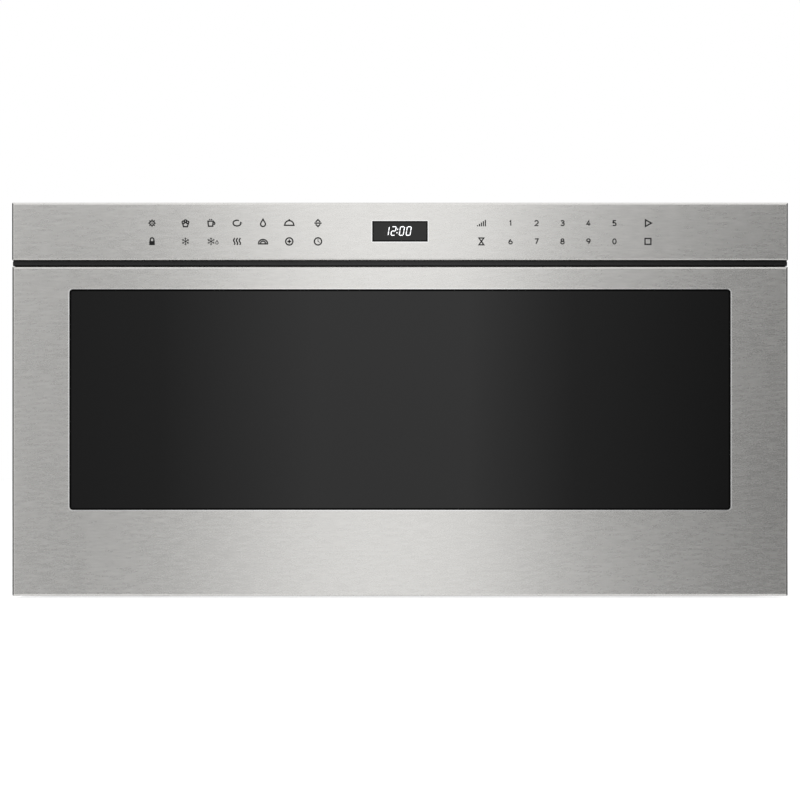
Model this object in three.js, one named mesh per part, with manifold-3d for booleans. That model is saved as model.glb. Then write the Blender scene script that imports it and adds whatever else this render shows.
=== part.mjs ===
// Microwave drawer: a built-in microwave oven whose cooking space slides out of its cabinet as a drawer.
// Millimetres. X runs to the right, Y to the back and Z up. The origin is on the shelf, under the middle.
// Inside the assembly group, Y is measured from the front face of the door.
import * as THREE from "three";
import { mergeVertices } from "three/addons/utils/BufferGeometryUtils.js";
import Module from "manifold-3d";

const wasm = await Module();
wasm.setup();

// ---------------------------------------------------------------- driving dimensions

// Front, as seen from the room.
const FRONT_WIDTH = 759; // control panel, side to side
const PANEL_HEIGHT = 55.8;
const DOOR_INSET = 0.5; // door's side edge inside the panel's
const DOOR_HEIGHT = 321.8;
const DOOR_DEPTH = 38; // front face to the back of the door
const VENT_GAP = 6.5; // dark slot between the door and the control panel
const SHELF_CLEARANCE = 1.8; // under the door
const SKIN = 1.2; // stainless sheet of the door and the control panel
const SKIN_RETURN = 24; // how far the stainless sheet folds back
const WINDOW_SIDE_MARGIN = 55.4; // door's side edge to the window
const WINDOW_HEIGHT = 216.2;
const WINDOW_TOP_MARGIN = 21.9; // door's top edge to the window
const WINDOW_CORNER = 3;
const GLASS = 5; // window glass
const GLASS_OVERLAP = 8; // glass held behind the stainless sheet on each side
const DISPLAY_WIDTH = 54.4;
const DISPLAY_HEIGHT = 20.3;
const DISPLAY_DROP = 27.75; // panel's top edge to the display's middle
const DISPLAY_RECESS = 0.5;
const CONTROL_BOARD_WIDTH = 500;
const CONTROL_BOARD_DEPTH = 8; // front face to the board

// Cabinet.
const SHEET = 0.8; // cabinet sheet steel
const FRAME_FLANGE = 17; // front frame's reach beyond the cabinet's side
const CHASSIS_HEADROOM = 33; // over the stirrer motor
const CHASSIS_DEPTH = 588;
const SEAL_GAP = 1; // between the closed door and the front frame
const FRAME = 1.5; // front frame's sheet
const FRAME_INSET = 8.5; // frame's side edge inside the panel's
const FRAME_BOTTOM = 6;
const FRAME_REVEAL = 8; // panel's top edge over the frame's
const HEM = 15; // side edges folded double, where the cabinet is screwed on
const SKID_HEIGHT = 4.4; // pressed ribs that the base pan stands on
const SKID_WIDTH = 26;
const SKID_SPACING = 480; // between the skids' middles
const PAN_FLANGE = 14;
const FIXING_HOLE = 2.6; // radius of the screw holes in the front frame
const FIXING_ENDS = 54; // from the frame's top and bottom edges
const HARNESS_WIDTH = 80; // frame's opening for the wires to the control board
const HARNESS_MARGIN = 14; // that opening to the panel's and the frame's edges
const VENT_SLOT = 4; // width of a cooling slot
const VENT_PITCH = 12;
const VENT_HEIGHT = 80;
const SIDE_VENTS = 9; // slots in each side of the cover
const SIDE_VENT_SETBACK = 130; // cabinet's back to the first slot
const SIDE_VENT_DROP = 50; // cabinet's top to the slots
const BACK_VENTS = 12; // slots in each of the back panel's two groups
const BACK_VENT_DROP = 40;
const OUTLET_START = 120; // first slot of the upper group, from the middle
const INTAKE_START = -260; // first slot of the lower group
const INTAKE_BOTTOM = 150;

// Drawer tub.
const SIDE_SPACE = 134; // tub's inside to the cabinet's outside, for the walls, seal, arms and slides
const TUB_DEPTH = 420; // inside
const TUB_WALL = 3;
const TUB_CORNER = 20;
const TUB_RIM = 5; // rim's reach outside the wall
const TUB_RIM_THICKNESS = 4;
const TUB_GLIDE = 24; // glide pads under the tub's back
const FLOOR_GLASS = 5;
const VIEW_SIDE_MARGIN = 10; // tub's inside to the see-through part of the door
const VIEW_MARGIN = 15; // above and below it

// Fixed oven cavity around the tub.
const CAVITY_WALL = 0.8;
const CAVITY_SIDE_CLEARANCE = 4; // tub's rim to the wall
const CAVITY_HEADROOM = 28; // over the tub's rim
const CAVITY_BACK_CLEARANCE = 30;
const CAVITY_FLOOR_CLEARANCE = 8;
const CAVITY_FLANGE = 16;
const SEAL_WIDTH = 36; // door's metal seal band around the cavity's mouth
const SEAL_MARGIN = 5.5; // door's top edge to the seal band
const CHOKE_START = 8; // groove's inner edge from the mouth
const CHOKE_GROOVE = 20;
const CHOKE_PLATE = 8;
const CHOKE_SHEET = 1.2;
const CHOKE_GROOVE_DEPTH = 5;
const SCREEN_SEAT = 6; // window screen's overlap on the choke plate
const LATCH_HEIGHT = 12;
const LATCH_WIDTH = 4;
const LATCH_REACH = 24; // behind the door
const LATCH_OFFSET = 18; // from the arm's web
const SWITCH_WIDTH = 12;
const SWITCH_DEPTH = 26;

// Slides, arms, racks and drive.
const TRAVEL = 381; // the drawer's full opening
const ARM_OFFSET = 14; // seal band to the arm's web
const ARM_SHEET = 1.5;
const ARM_HEIGHT = 75;
const ARM_FLANGE = 13.5; // shelf of the arm that carries the rack
const ARM_FOOT = 30; // flange that is screwed to the door
const ARM_FOOT_THICKNESS = 2;
const ARM_LENGTH = 455;
const SLIDE_LENGTH = 450;
const SLIDE_HEIGHT = 45;
const SLIDE_THICKNESS = 13;
const SLIDE_SHEET = 1.3;
const BALL = 2.6; // ball diameter in the slides
const BALL_GAP = 0.3; // ball to each raceway
const BALLS_PER_ROW = 6;
const CAGE_LENGTH = 240;
const CAGE_SHEET = 0.6;
const GEAR_PRESSURE_ANGLE = THREE.MathUtils.degToRad(25);
const GEAR_BACKLASH = 0.3;
const RACK_MODULE = 2;
const PINION_TEETH = 16;
const DRIVE_MODULE = 1;
const DRIVE_GEAR_TEETH = 34;
const MOTOR_PINION_TEETH = 14;
const RACK_WIDTH = 10;
const RACK_BACK = 6; // rack's bar above the teeth
const PINION_CLEARANCE = 3; // pinion's teeth to the base pan
const SHAFT_RADIUS = 5;
const SHAFT_SETBACK = 31; // front frame to the drive shaft
const DRIVE_GEAR_OFFSET = 110; // drive gear's near face from the middle
const DRIVE_GEAR_WIDTH = 8;
const GEARBOX_WIDTH = 44;
const GEARBOX_DEPTH = 48;
const GEARBOX_SETBACK = 10; // drive shaft's axis to the gearbox
const MOTOR_LENGTH = 58;
const MOTOR_RADIUS = 18;

// Microwave system.
const FEED_SIZE = 124; // feed box over the cavity, and its stirrer
const FEED_HEIGHT = 34;
const FEED_DISTANCE = 190; // front frame to the stirrer's axis
const GUIDE_WIDTH = 84;
const FEED_HOLE = 100;
const STIRRER_RADIUS = 44;
const STIRRER_BLADE = 24; // blade's width
const STIRRER_MOTOR_RADIUS = 24;
const STIRRER_MOTOR_HEIGHT = 15;
const MAGNETRON_WIDTH = 92;
const MAGNETRON_DEPTH = 76;
const MAGNETRON_HEIGHT = 70;
const MAGNETRON_SETBACK = 66; // cavity's back wall to the magnetron's axis
const MAGNETRON_FINS = 6;
const FILTER_HEIGHT = 44;
const ANTENNA_REACH = 24; // antenna's tip over the waveguide's floor
const TRANSFORMER_OFFSET = 165; // middle, along X
const TRANSFORMER_WIDTH = 96;
const TRANSFORMER_DEPTH = 60;
const TRANSFORMER_HEIGHT = 80;
const TRANSFORMER_LEG = 18; // core's thickness around the coils
const CAPACITOR_OFFSET = 60;
const CAPACITOR_WIDTH = 52;
const CAPACITOR_DEPTH = 32;
const CAPACITOR_HEIGHT = 86;
const FAN_RADIUS = 50;
const FAN_OFFSET = -88; // fan's middle along X
const FAN_AXIS_DROP = 73; // waveguide's top to the fan's axis
const FAN_DEPTH = 16;
const FAN_HUB_RADIUS = 15;
const FAN_MOTOR_RADIUS = 26;
const FAN_MOTOR_LENGTH = 34;
const FAN_MOTOR_GAP = 10; // between the fan and its motor
const SHROUD_WIDTH = 120;
const BOARD_EDGE = 44; // cabinet's side to the power board
const BOARD_WIDTH = 130;
const BOARD_DEPTH = 90;
const BOARD_THICKNESS = 1.6;
const BOARD_POST = 12;
const BOARD_POST_INSET = 8; // board's edges to its posts
const BOARD_MARGIN = 14; // board's edge to the relays and the fuse
const COIL_RADIUS = 14; // filter coil on the power board
const COIL_HEIGHT = 22;
const FUSE_LENGTH = 36;
const FUSE_HEIGHT = 10;
const RELAY_WIDTH = 20;
const RELAY_HEIGHT = 18;
const LAMP_SIZE = 44;
const LAMP_DEPTH = 36;
const LAMP_DISTANCE = 290; // front frame to the lamp
const LAMP_DROP = 45; // ceiling to the lamp

// Gaps.
const JOIN = 0.3; // between pieces that touch
const PART_CLEARANCE = 0.8; // between the door's top and the vent trim
const GLAND_PROTRUSION = 6; // cord gland behind the back panel
const GLAND_EDGE = 60; // cabinet's side to the cord gland
const GLAND_HEIGHT = 70;
const GLAND_RADIUS = 11;
const VENT_INSET = 0.8; // vent trim's end inside the door's side edge
const VENT_RECESS = 5; // door's front face to the vent trim

// ---------------------------------------------------------------- places worked out from them

const panelHalf = FRONT_WIDTH / 2;
const doorHalf = panelHalf - DOOR_INSET;
const frameHalf = panelHalf - FRAME_INSET;
const doorBottom = SHELF_CLEARANCE;
const doorTop = doorBottom + DOOR_HEIGHT;
const panelBottom = doorTop + VENT_GAP;
const panelTop = panelBottom + PANEL_HEIGHT;
const windowTop = doorTop - WINDOW_TOP_MARGIN;
const windowBottom = windowTop - WINDOW_HEIGHT;
const glassFront = SKIN + JOIN;
const glassBack = glassFront + GLASS;

const frameFront = DOOR_DEPTH + SEAL_GAP;
const frameBack = frameFront + FRAME;
const chassisFront = frameBack + JOIN;
const chassisBack = frameBack + CHASSIS_DEPTH;
const backPanelFront = chassisBack - SHEET;
const overallDepth = chassisBack + GLAND_PROTRUSION;
const panTop = SKID_HEIGHT + SHEET;

const pinionRadius = (RACK_MODULE * PINION_TEETH) / 2;
const shaftZ = panTop + PINION_CLEARANCE + pinionRadius + RACK_MODULE;
const shaftY = frameBack + SHAFT_SETBACK;
const rackPitchZ = shaftZ + pinionRadius;
const rackTop = rackPitchZ + 1.25 * RACK_MODULE + RACK_BACK;
const armBottom = rackTop + JOIN;

const chassisHalf = frameHalf - FRAME_FLANGE;
const tubHalf = chassisHalf - SIDE_SPACE;
const rimHalf = tubHalf + TUB_WALL + TUB_RIM;
const cavityHalf = rimHalf + CAVITY_SIDE_CLEARANCE;
const cavityFloor = armBottom + 6.8;
const tubBottom = cavityFloor + CAVITY_FLOOR_CLEARANCE;
const trayBottom = tubBottom + TUB_WALL + JOIN;
const trayTop = trayBottom + FLOOR_GLASS;
const cavityCeiling = doorTop - SEAL_MARGIN - SEAL_WIDTH;
const tubTop = cavityCeiling - CAVITY_HEADROOM;
const cavityTop = cavityCeiling + CAVITY_WALL;
const tubFront = DOOR_DEPTH + JOIN;
const tubBack = tubFront + TUB_DEPTH + TUB_WALL;
const cavityBack = tubBack + CAVITY_BACK_CLEARANCE;

const armX = cavityHalf + SEAL_WIDTH + ARM_OFFSET; // web's inner face
const slideX = armX + ARM_SHEET + JOIN; // slide's inner face
const bracketX = slideX + SLIDE_THICKNESS + JOIN;
const armFront = DOOR_DEPTH - ARM_FOOT_THICKNESS - JOIN;
const slideZ = armBottom + ARM_SHEET + 6 + SLIDE_HEIGHT / 2;
const slideFront = chassisFront + 1.5;

const feedY = frameBack + FEED_DISTANCE;
const magnetronY = cavityBack + CAVITY_WALL + MAGNETRON_SETBACK;
const guideBottom = cavityTop + JOIN;
const guideTop = guideBottom + FEED_HEIGHT;
const chassisTop = guideTop + JOIN + STIRRER_MOTOR_HEIGHT + CHASSIS_HEADROOM;
const fanPlace = [magnetronY, guideTop - FAN_AXIS_DROP];

// ---------------------------------------------------------------- solids and meshes

/** A closed geometry as a solid that can be cut and joined. */
function solidOf(geometry) {
  const bare = geometry.index ? geometry.toNonIndexed() : geometry.clone();
  bare.deleteAttribute("normal");
  bare.deleteAttribute("uv");
  const merged = mergeVertices(bare, 1e-4);
  const vertProperties = merged.attributes.position.array;
  const triVerts = new Uint32Array(merged.index.array);
  return new wasm.Manifold(new wasm.Mesh({ numProp: 3, vertProperties, triVerts }));
}

/** A box between two corners. */
function box([x0, x1], [y0, y1], [z0, z1]) {
  const geometry = new THREE.BoxGeometry(x1 - x0, y1 - y0, z1 - z0);
  return solidOf(geometry.translate((x0 + x1) / 2, (y0 + y1) / 2, (z0 + z1) / 2));
}

// Where a drawn outline's two axes and its extrusion go: along X it is drawn in Y and Z, along Y in X and Z.
const TURN = {
  x: new THREE.Matrix4().set(0, 0, 1, 0, 1, 0, 0, 0, 0, 1, 0, 0, 0, 0, 0, 1),
  y: new THREE.Matrix4().set(1, 0, 0, 0, 0, 0, -1, 0, 0, 1, 0, 0, 0, 0, 0, 1),
  z: new THREE.Matrix4(),
};

/** An outline extruded along an axis, from one place to another. */
function prism(axis, outline, [from, to], holes = [], curveSegments = 4) {
  const isShape = outline instanceof THREE.Shape;
  const shape = isShape ? outline : new THREE.Shape(outline.map(([u, v]) => new THREE.Vector2(u, v)));
  shape.holes.push(...holes);
  const geometry = new THREE.ExtrudeGeometry(shape, { depth: to - from, bevelEnabled: false, curveSegments });
  geometry.translate(0, 0, axis === "y" ? -to : from);
  return solidOf(geometry.applyMatrix4(TURN[axis]));
}

/** A rectangle with round corners, as a shape. */
function roundedRectangle([u0, u1], [v0, v1], radius) {
  const shape = new THREE.Shape();
  shape.moveTo(u0 + radius, v0);
  shape.lineTo(u1 - radius, v0);
  shape.absarc(u1 - radius, v0 + radius, radius, -Math.PI / 2, 0);
  shape.lineTo(u1, v1 - radius);
  shape.absarc(u1 - radius, v1 - radius, radius, 0, Math.PI / 2);
  shape.lineTo(u0 + radius, v1);
  shape.absarc(u0 + radius, v1 - radius, radius, Math.PI / 2, Math.PI);
  shape.lineTo(u0, v0 + radius);
  shape.absarc(u0 + radius, v0 + radius, radius, Math.PI, 1.5 * Math.PI);
  return shape;
}

/** A round bar along an axis; centre is its place on the other two axes. */
function rod(axis, [u, v], radius, span, segments = 20) {
  const points = [];
  for (let i = 0; i < segments; i++) {
    const angle = (2 * Math.PI * (i + 0.5)) / segments;
    points.push([u + radius * Math.cos(angle), v + radius * Math.sin(angle)]);
  }
  return prism(axis, points, span);
}

/** The outline of a sheet folded along a path; the sheet lies on the path's left. */
function foldedSheet(path, thickness) {
  const points = path.map(([u, v]) => new THREE.Vector2(u, v));
  const far = points.map((point, i) => {
    const after = i < points.length - 1 ? points[i + 1].clone().sub(point).normalize() : null;
    const before = i > 0 ? point.clone().sub(points[i - 1]).normalize() : after;
    const next = after ?? before;
    const left = new THREE.Vector2(-before.y, before.x);
    const mitre = left.clone().add(new THREE.Vector2(-next.y, next.x));
    return point.clone().addScaledVector(mitre, thickness / mitre.dot(left));
  });
  return [...points, ...far.reverse()].map((p) => [p.x, p.y]);
}

/** All the solids joined into one. */
function join(...solids) {
  return solids.reduce((whole, solid) => whole.add(solid));
}

/** The first solid with the others cut away. */
function cut(solid, ...tools) {
  return tools.reduce((whole, tool) => whole.subtract(tool), solid);
}

const finish = (color, roughness, metalness) => ({ color, roughness, metalness });
const FINISHES = {
  stainless: finish(0xb9b8b4, 0.32, 1),
  blackGlass: finish(0x141414, 0.08, 0),
  blackPlastic: finish(0x1b1b1c, 0.5, 0),
  frameSteel: finish(0x8d8f90, 0.42, 0.6),
  galvanised: finish(0xa9adb0, 0.45, 0.9),
  enamel: finish(0x9a9a98, 0.4, 0.1),
  zinc: finish(0xb4b8bb, 0.3, 1),
  bearing: finish(0xd8dadb, 0.2, 1),
  tub: finish(0x8b8c8d, 0.45, 0),
  ceramic: finish(0x2a2b2d, 0.15, 0),
  clear: finish(0x303234, 0.1, 0),
  nylon: finish(0xe4e1d6, 0.5, 0),
  darkSteel: finish(0x4a4c4e, 0.4, 0.9),
  board: finish(0x1d5b36, 0.5, 0),
  aluminium: finish(0xc9cbcd, 0.35, 1),
  copper: finish(0x9c5a2c, 0.4, 0.8),
  mica: finish(0xd9d2bd, 0.7, 0),
  rubber: finish(0x202020, 0.8, 0),
};

const assembly = new THREE.Group();
assembly.position.y = -overallDepth / 2;

/** Adds a solid to a group as a named mesh with a finish of its own. */
function piece(name, solid, finishName, group = assembly) {
  const made = solid.getMesh();
  const geometry = new THREE.BufferGeometry();
  geometry.setAttribute("position", new THREE.BufferAttribute(new Float32Array(made.vertProperties), 3));
  geometry.setIndex(new THREE.BufferAttribute(new Uint32Array(made.triVerts), 1));
  geometry.computeVertexNormals();
  const mesh = new THREE.Mesh(geometry, new THREE.MeshStandardMaterial(FINISHES[finishName]));
  mesh.name = name;
  group.add(mesh);
  return mesh;
}

const SIDES = [
  ["left", -1],
  ["right", 1],
];

/** A solid made for the right side, or its mirror image for the left. */
function onSide(solid, sign) {
  return sign > 0 ? solid : solid.mirror([1, 0, 0]);
}

const across = (half) => [-half, half];
const grown = ([low, high], by) => [low - by, high + by];

// ---------------------------------------------------------------- drawer front

const doorSpan = across(doorHalf);
const doorRise = [doorBottom, doorTop];
const windowSpan = across(doorHalf - WINDOW_SIDE_MARGIN);
const windowRise = [windowBottom, windowTop];
const glassSpan = grown(windowSpan, GLASS_OVERLAP);
const glassRise = grown(windowRise, GLASS_OVERLAP);
const viewSpan = across(tubHalf - VIEW_SIDE_MARGIN);
const viewRise = [trayTop + VIEW_MARGIN, tubTop - VIEW_MARGIN];
const mouthSpan = across(cavityHalf);
const mouthRise = [cavityFloor, cavityCeiling];
const sealSpan = grown(mouthSpan, SEAL_WIDTH);
const sealRise = grown(mouthRise, SEAL_WIDTH);
const chokeFront = DOOR_DEPTH - CHOKE_PLATE;
const latchX = armX + LATCH_OFFSET;
const latchZ = cavityCeiling - 2 * LATCH_HEIGHT;
const latch = { x: [latchX, latchX + LATCH_WIDTH], z: [latchZ, latchZ + LATCH_HEIGHT], depth: LATCH_REACH };

/** Stainless sheet folded into a tray that is open at the back. */
function skinTray(span, rise) {
  const hollow = box(grown(span, -SKIN), [SKIN, SKIN_RETURN + 1], grown(rise, -SKIN));
  return cut(box(span, [0, SKIN_RETURN], rise), hollow);
}

function makeDrawerFront() {
  const opening = prism("y", roundedRectangle(windowSpan, windowRise, WINDOW_CORNER), [-1, SKIN + 1]);
  return cut(skinTray(doorSpan, doorRise), opening);
}

function makeWindowGlass() {
  return prism("y", roundedRectangle(glassSpan, glassRise, WINDOW_CORNER), [glassFront, glassBack]);
}

/** Black carrier inside the door: it holds the glass in front and the choke plate and arms at the back. */
function makeDoorFrame() {
  const wall = 3;
  const span = grown(doorSpan, -SKIN - JOIN);
  const rise = grown(doorRise, -SKIN - JOIN);
  const seat = grown(glassSpan, wall + JOIN);
  const hollowBack = DOOR_DEPTH - wall - 0.5;
  const centreBack = chokeFront - JOIN - wall;
  const floorOfSeat = glassRise[0] - JOIN - wall;
  const tunnel = grown(viewSpan, wall);
  const foot = armFootBounds();
  const pockets = [
    box(grown(glassSpan, JOIN), [0, glassBack + JOIN], grown(glassRise, JOIN)),
    box(viewSpan, [0, DOOR_DEPTH + 1], viewRise),
    box([span[0] + wall, seat[0]], [0, hollowBack - ARM_FOOT_THICKNESS], grown(rise, -wall)),
    box([seat[1], span[1] - wall], [0, hollowBack - ARM_FOOT_THICKNESS], grown(rise, -wall)),
    box([tunnel[1], glassSpan[1] - wall], [0, centreBack], grown(glassRise, -wall)),
    box([glassSpan[0] + wall, tunnel[0]], [0, centreBack], grown(glassRise, -wall)),
    box(seat, [0, centreBack], [rise[0] + wall, floorOfSeat]),
    box(grown(sealSpan, JOIN), [chokeFront - JOIN, DOOR_DEPTH + 1], grown(sealRise, JOIN)),
  ];
  for (const [, sign] of SIDES) {
    const recess = box(grown(foot.x, JOIN), [armFront - JOIN, DOOR_DEPTH + 1], grown(foot.z, JOIN));
    const latchHole = box(grown(latch.x, JOIN), [0, DOOR_DEPTH + 1], grown(latch.z, JOIN));
    pockets.push(onSide(recess, sign), onSide(latchHole, sign));
  }
  return cut(box(span, [glassFront, DOOR_DEPTH], rise), ...pockets);
}

/** Steel plate on the door's back with the choke groove around the cavity's mouth. */
function makeChokePlate() {
  const grooveInner = CHOKE_START;
  const grooveOuter = CHOKE_START + CHOKE_GROOVE;
  const back = [DOOR_DEPTH - CHOKE_GROOVE_DEPTH, DOOR_DEPTH + 1];
  const island = box(grown(mouthSpan, grooveInner), back, grown(mouthRise, grooveInner));
  const groove = cut(box(grown(mouthSpan, grooveOuter), back, grown(mouthRise, grooveOuter)), island);
  const view = box(viewSpan, [0, DOOR_DEPTH + 1], viewRise);
  const seatDepth = [0, chokeFront + CHOKE_SHEET];
  const screenSeat = box(grown(viewSpan, SCREEN_SEAT), seatDepth, grown(viewRise, SCREEN_SEAT));
  const hollow = [0, DOOR_DEPTH - CHOKE_SHEET];
  const ring = (by) => box(grown(mouthSpan, by), hollow, grown(mouthRise, by));
  const rim = cut(ring(SEAL_WIDTH - CHOKE_SHEET), ring(grooveOuter + CHOKE_SHEET));
  const lipWidth = SCREEN_SEAT + CHOKE_SHEET;
  const lip = box(grown(viewSpan, lipWidth), hollow, grown(viewRise, lipWidth));
  const centre = cut(ring(grooveInner - CHOKE_SHEET), lip);
  return cut(box(sealSpan, [chokeFront, DOOR_DEPTH], sealRise), groove, view, screenSeat, rim, centre);
}

function makeChokeCover() {
  const depth = [DOOR_DEPTH - CHOKE_GROOVE_DEPTH + JOIN, DOOR_DEPTH];
  const inner = CHOKE_START + JOIN;
  const outer = CHOKE_START + CHOKE_GROOVE - JOIN;
  const hole = box(grown(mouthSpan, inner), grown(depth, 1), grown(mouthRise, inner));
  return cut(box(grown(mouthSpan, outer), depth, grown(mouthRise, outer)), hole);
}

const front = new THREE.Group();
assembly.add(front);
piece("drawer_front", makeDrawerFront(), "stainless", front);
piece("window_glass", makeWindowGlass(), "blackGlass", front);
piece("door_frame", makeDoorFrame(), "blackPlastic", front);
piece("choke_plate", makeChokePlate(), "frameSteel", front);
piece("choke_cover", makeChokeCover(), "blackPlastic", front);
const screenDepth = [chokeFront + JOIN, chokeFront + CHOKE_SHEET - JOIN];
const screenSpan = grown(viewSpan, SCREEN_SEAT - JOIN);
const screenRise = grown(viewRise, SCREEN_SEAT - JOIN);
piece("window_screen", box(screenSpan, screenDepth, screenRise), "darkSteel", front);
const innerWindowDepth = [chokeFront + CHOKE_SHEET, DOOR_DEPTH];
piece("inner_window", box(grown(viewSpan, -JOIN), innerWindowDepth, grown(viewRise, -JOIN)), "clear", front);
for (const [side, sign] of SIDES) {
  const hookEnd = DOOR_DEPTH + latch.depth;
  const hook = box(latch.x, [DOOR_DEPTH - 6, hookEnd], latch.z);
  const tip = box([latch.x[0] - 3, latch.x[1]], [hookEnd - 5, hookEnd], latch.z);
  piece(`latch_hook_${side}`, onSide(join(hook, tip), sign), "nylon", front);
}

// ---------------------------------------------------------------- drawer tub, arms and racks

/** A tub wall's outline seen from above: open at the front, round at the back corners. */
function tubPlan(half, back, radius) {
  const plan = new THREE.Shape();
  plan.moveTo(-half, tubFront);
  plan.lineTo(half, tubFront);
  plan.lineTo(half, back - radius);
  plan.absarc(half - radius, back - radius, radius, 0, Math.PI / 2);
  plan.lineTo(-half + radius, back);
  plan.absarc(-half + radius, back - radius, radius, Math.PI / 2, Math.PI);
  return plan;
}

function makeTub() {
  const outside = prism("z", tubPlan(tubHalf + TUB_WALL, tubBack, TUB_CORNER + TUB_WALL), [tubBottom, tubTop]);
  const rimBack = tubBack + TUB_RIM;
  const rimPlan = tubPlan(rimHalf, rimBack, TUB_CORNER + TUB_WALL + TUB_RIM);
  const rim = prism("z", rimPlan, [tubTop - TUB_RIM_THICKNESS, tubTop]);
  const insidePlan = tubPlan(tubHalf, tubBack - TUB_WALL, TUB_CORNER);
  const inside = prism("z", insidePlan, [tubBottom + TUB_WALL, tubTop + 1]);
  const mouth = box(across(tubHalf), [tubFront - 1, tubFront + 1], [tubBottom + TUB_WALL, tubTop + 1]);
  const glides = SIDES.map(([, sign]) => {
    const span = [tubHalf - 2 * TUB_GLIDE, tubHalf - TUB_GLIDE];
    const along = [tubBack - 2 * TUB_GLIDE, tubBack - TUB_GLIDE];
    return onSide(box(span, along, [cavityFloor + JOIN, tubBottom + 1]), sign);
  });
  return cut(join(outside, rim, ...glides), inside, mouth);
}

function makeFloorGlass() {
  const half = tubHalf - 2;
  const ends = [tubFront + 3, tubBack - TUB_WALL - 2];
  return prism("z", roundedRectangle(across(half), ends, TUB_CORNER), [trayBottom, trayTop]);
}

function armFootBounds() {
  return { x: [armX, armX + ARM_FOOT], z: [armBottom, armBottom + ARM_HEIGHT] };
}

/** Drawer arm: an upright web with a shelf for the rack below and a foot on the door. */
function makeArm() {
  const flangeEnd = armX + ARM_FLANGE;
  const path = [
    [flangeEnd, armBottom],
    [armX, armBottom],
    [armX, armBottom + ARM_HEIGHT],
  ];
  const profile = foldedSheet(path.reverse(), ARM_SHEET);
  const bar = prism("y", profile, [armFront, armFront + ARM_LENGTH]);
  const foot = armFootBounds();
  return join(bar, box(foot.x, [armFront, armFront + ARM_FOOT_THICKNESS], foot.z));
}

/** The rack's outline in Y and Z, teeth down, with a gap between two teeth over the pinion. */
function rackOutline() {
  const pitch = Math.PI * RACK_MODULE;
  const slope = Math.tan(GEAR_PRESSURE_ANGLE);
  const half = pitch / 4 - GEAR_BACKLASH / 2;
  const tip = rackPitchZ - RACK_MODULE;
  const root = rackPitchZ + 1.25 * RACK_MODULE;
  const teethAhead = 2;
  const teethBehind = Math.ceil(TRAVEL / pitch) + 2;
  const outline = [];
  for (let tooth = -teethAhead; tooth < teethBehind; tooth++) {
    const middle = shaftY + (tooth + 0.5) * pitch;
    const atRoot = half + 1.25 * RACK_MODULE * slope;
    const atTip = half - RACK_MODULE * slope;
    outline.push([middle - atRoot, root], [middle - atTip, tip]);
    outline.push([middle + atTip, tip], [middle + atRoot, root]);
  }
  const ahead = shaftY - teethAhead * pitch - 1;
  const behind = shaftY + teethBehind * pitch + 1;
  return [[ahead, root], ...outline, [behind, root], [behind, rackTop], [ahead, rackTop]];
}

const rackX = [armX + ARM_FLANGE - RACK_WIDTH, armX + ARM_FLANGE];
const drawer = new THREE.Group();
assembly.add(drawer);
piece("drawer_tub", makeTub(), "tub", drawer);
piece("floor_glass", makeFloorGlass(), "ceramic", drawer);
for (const [side, sign] of SIDES) {
  piece(`drawer_arm_${side}`, onSide(makeArm(), sign), "galvanised", drawer);
  piece(`rack_${side}`, onSide(prism("x", rackOutline(), rackX), sign), "nylon", drawer);
}

// ---------------------------------------------------------------- ball slides

/** A C-shaped slide member: its web stands at u, and its lips reach to lip. */
function channel(u, lip, half, thickness, length) {
  const web = slideX + u;
  const end = slideX + lip;
  const path = [
    [end, slideZ - half],
    [web, slideZ - half],
    [web, slideZ + half],
    [end, slideZ + half],
  ];
  const profile = foldedSheet(lip < u ? path.reverse() : path.reverse(), lip < u ? -thickness : thickness);
  return prism("y", profile, length);
}

const slideSpan = [slideFront, slideFront + SLIDE_LENGTH];
const raceway = BALL + 2 * BALL_GAP;
const outerHalf = SLIDE_HEIGHT / 2;
const middleHalf = outerHalf - SLIDE_SHEET - raceway;
const innerHalf = middleHalf - SLIDE_SHEET - raceway;
const cageMiddle = slideFront + SLIDE_LENGTH / 2;
const cageSpan = [cageMiddle - CAGE_LENGTH / 2, cageMiddle + CAGE_LENGTH / 2];
const memberGap = 2 * JOIN + CAGE_SHEET; // web of a cage between two members
const middleWeb = SLIDE_THICKNESS - SLIDE_SHEET - memberGap;
const innerLip = middleWeb - SLIDE_SHEET - memberGap;
const outerLip = 1.4;
const middleLip = 2.4;

/** Ball cage: a thin channel between two members with a row of balls above and one below. */
function cage(webAt, lip, raceHalf) {
  const half = raceHalf + raceway / 2 + CAGE_SHEET / 2;
  const strip = channel(webAt, lip, half, CAGE_SHEET, cageSpan);
  const balls = [];
  const across = slideX + (webAt - CAGE_SHEET + lip) / 2;
  for (const height of [-1, 1]) {
    for (let i = 0; i < BALLS_PER_ROW; i++) {
      const ball = new THREE.SphereGeometry(BALL / 2, 8, 6);
      const along = cageSpan[0] + ((i + 0.5) * CAGE_LENGTH) / BALLS_PER_ROW;
      ball.translate(across, along, slideZ + height * (raceHalf + raceway / 2));
      balls.push(solidOf(ball));
    }
  }
  return join(strip, ...balls);
}

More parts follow.
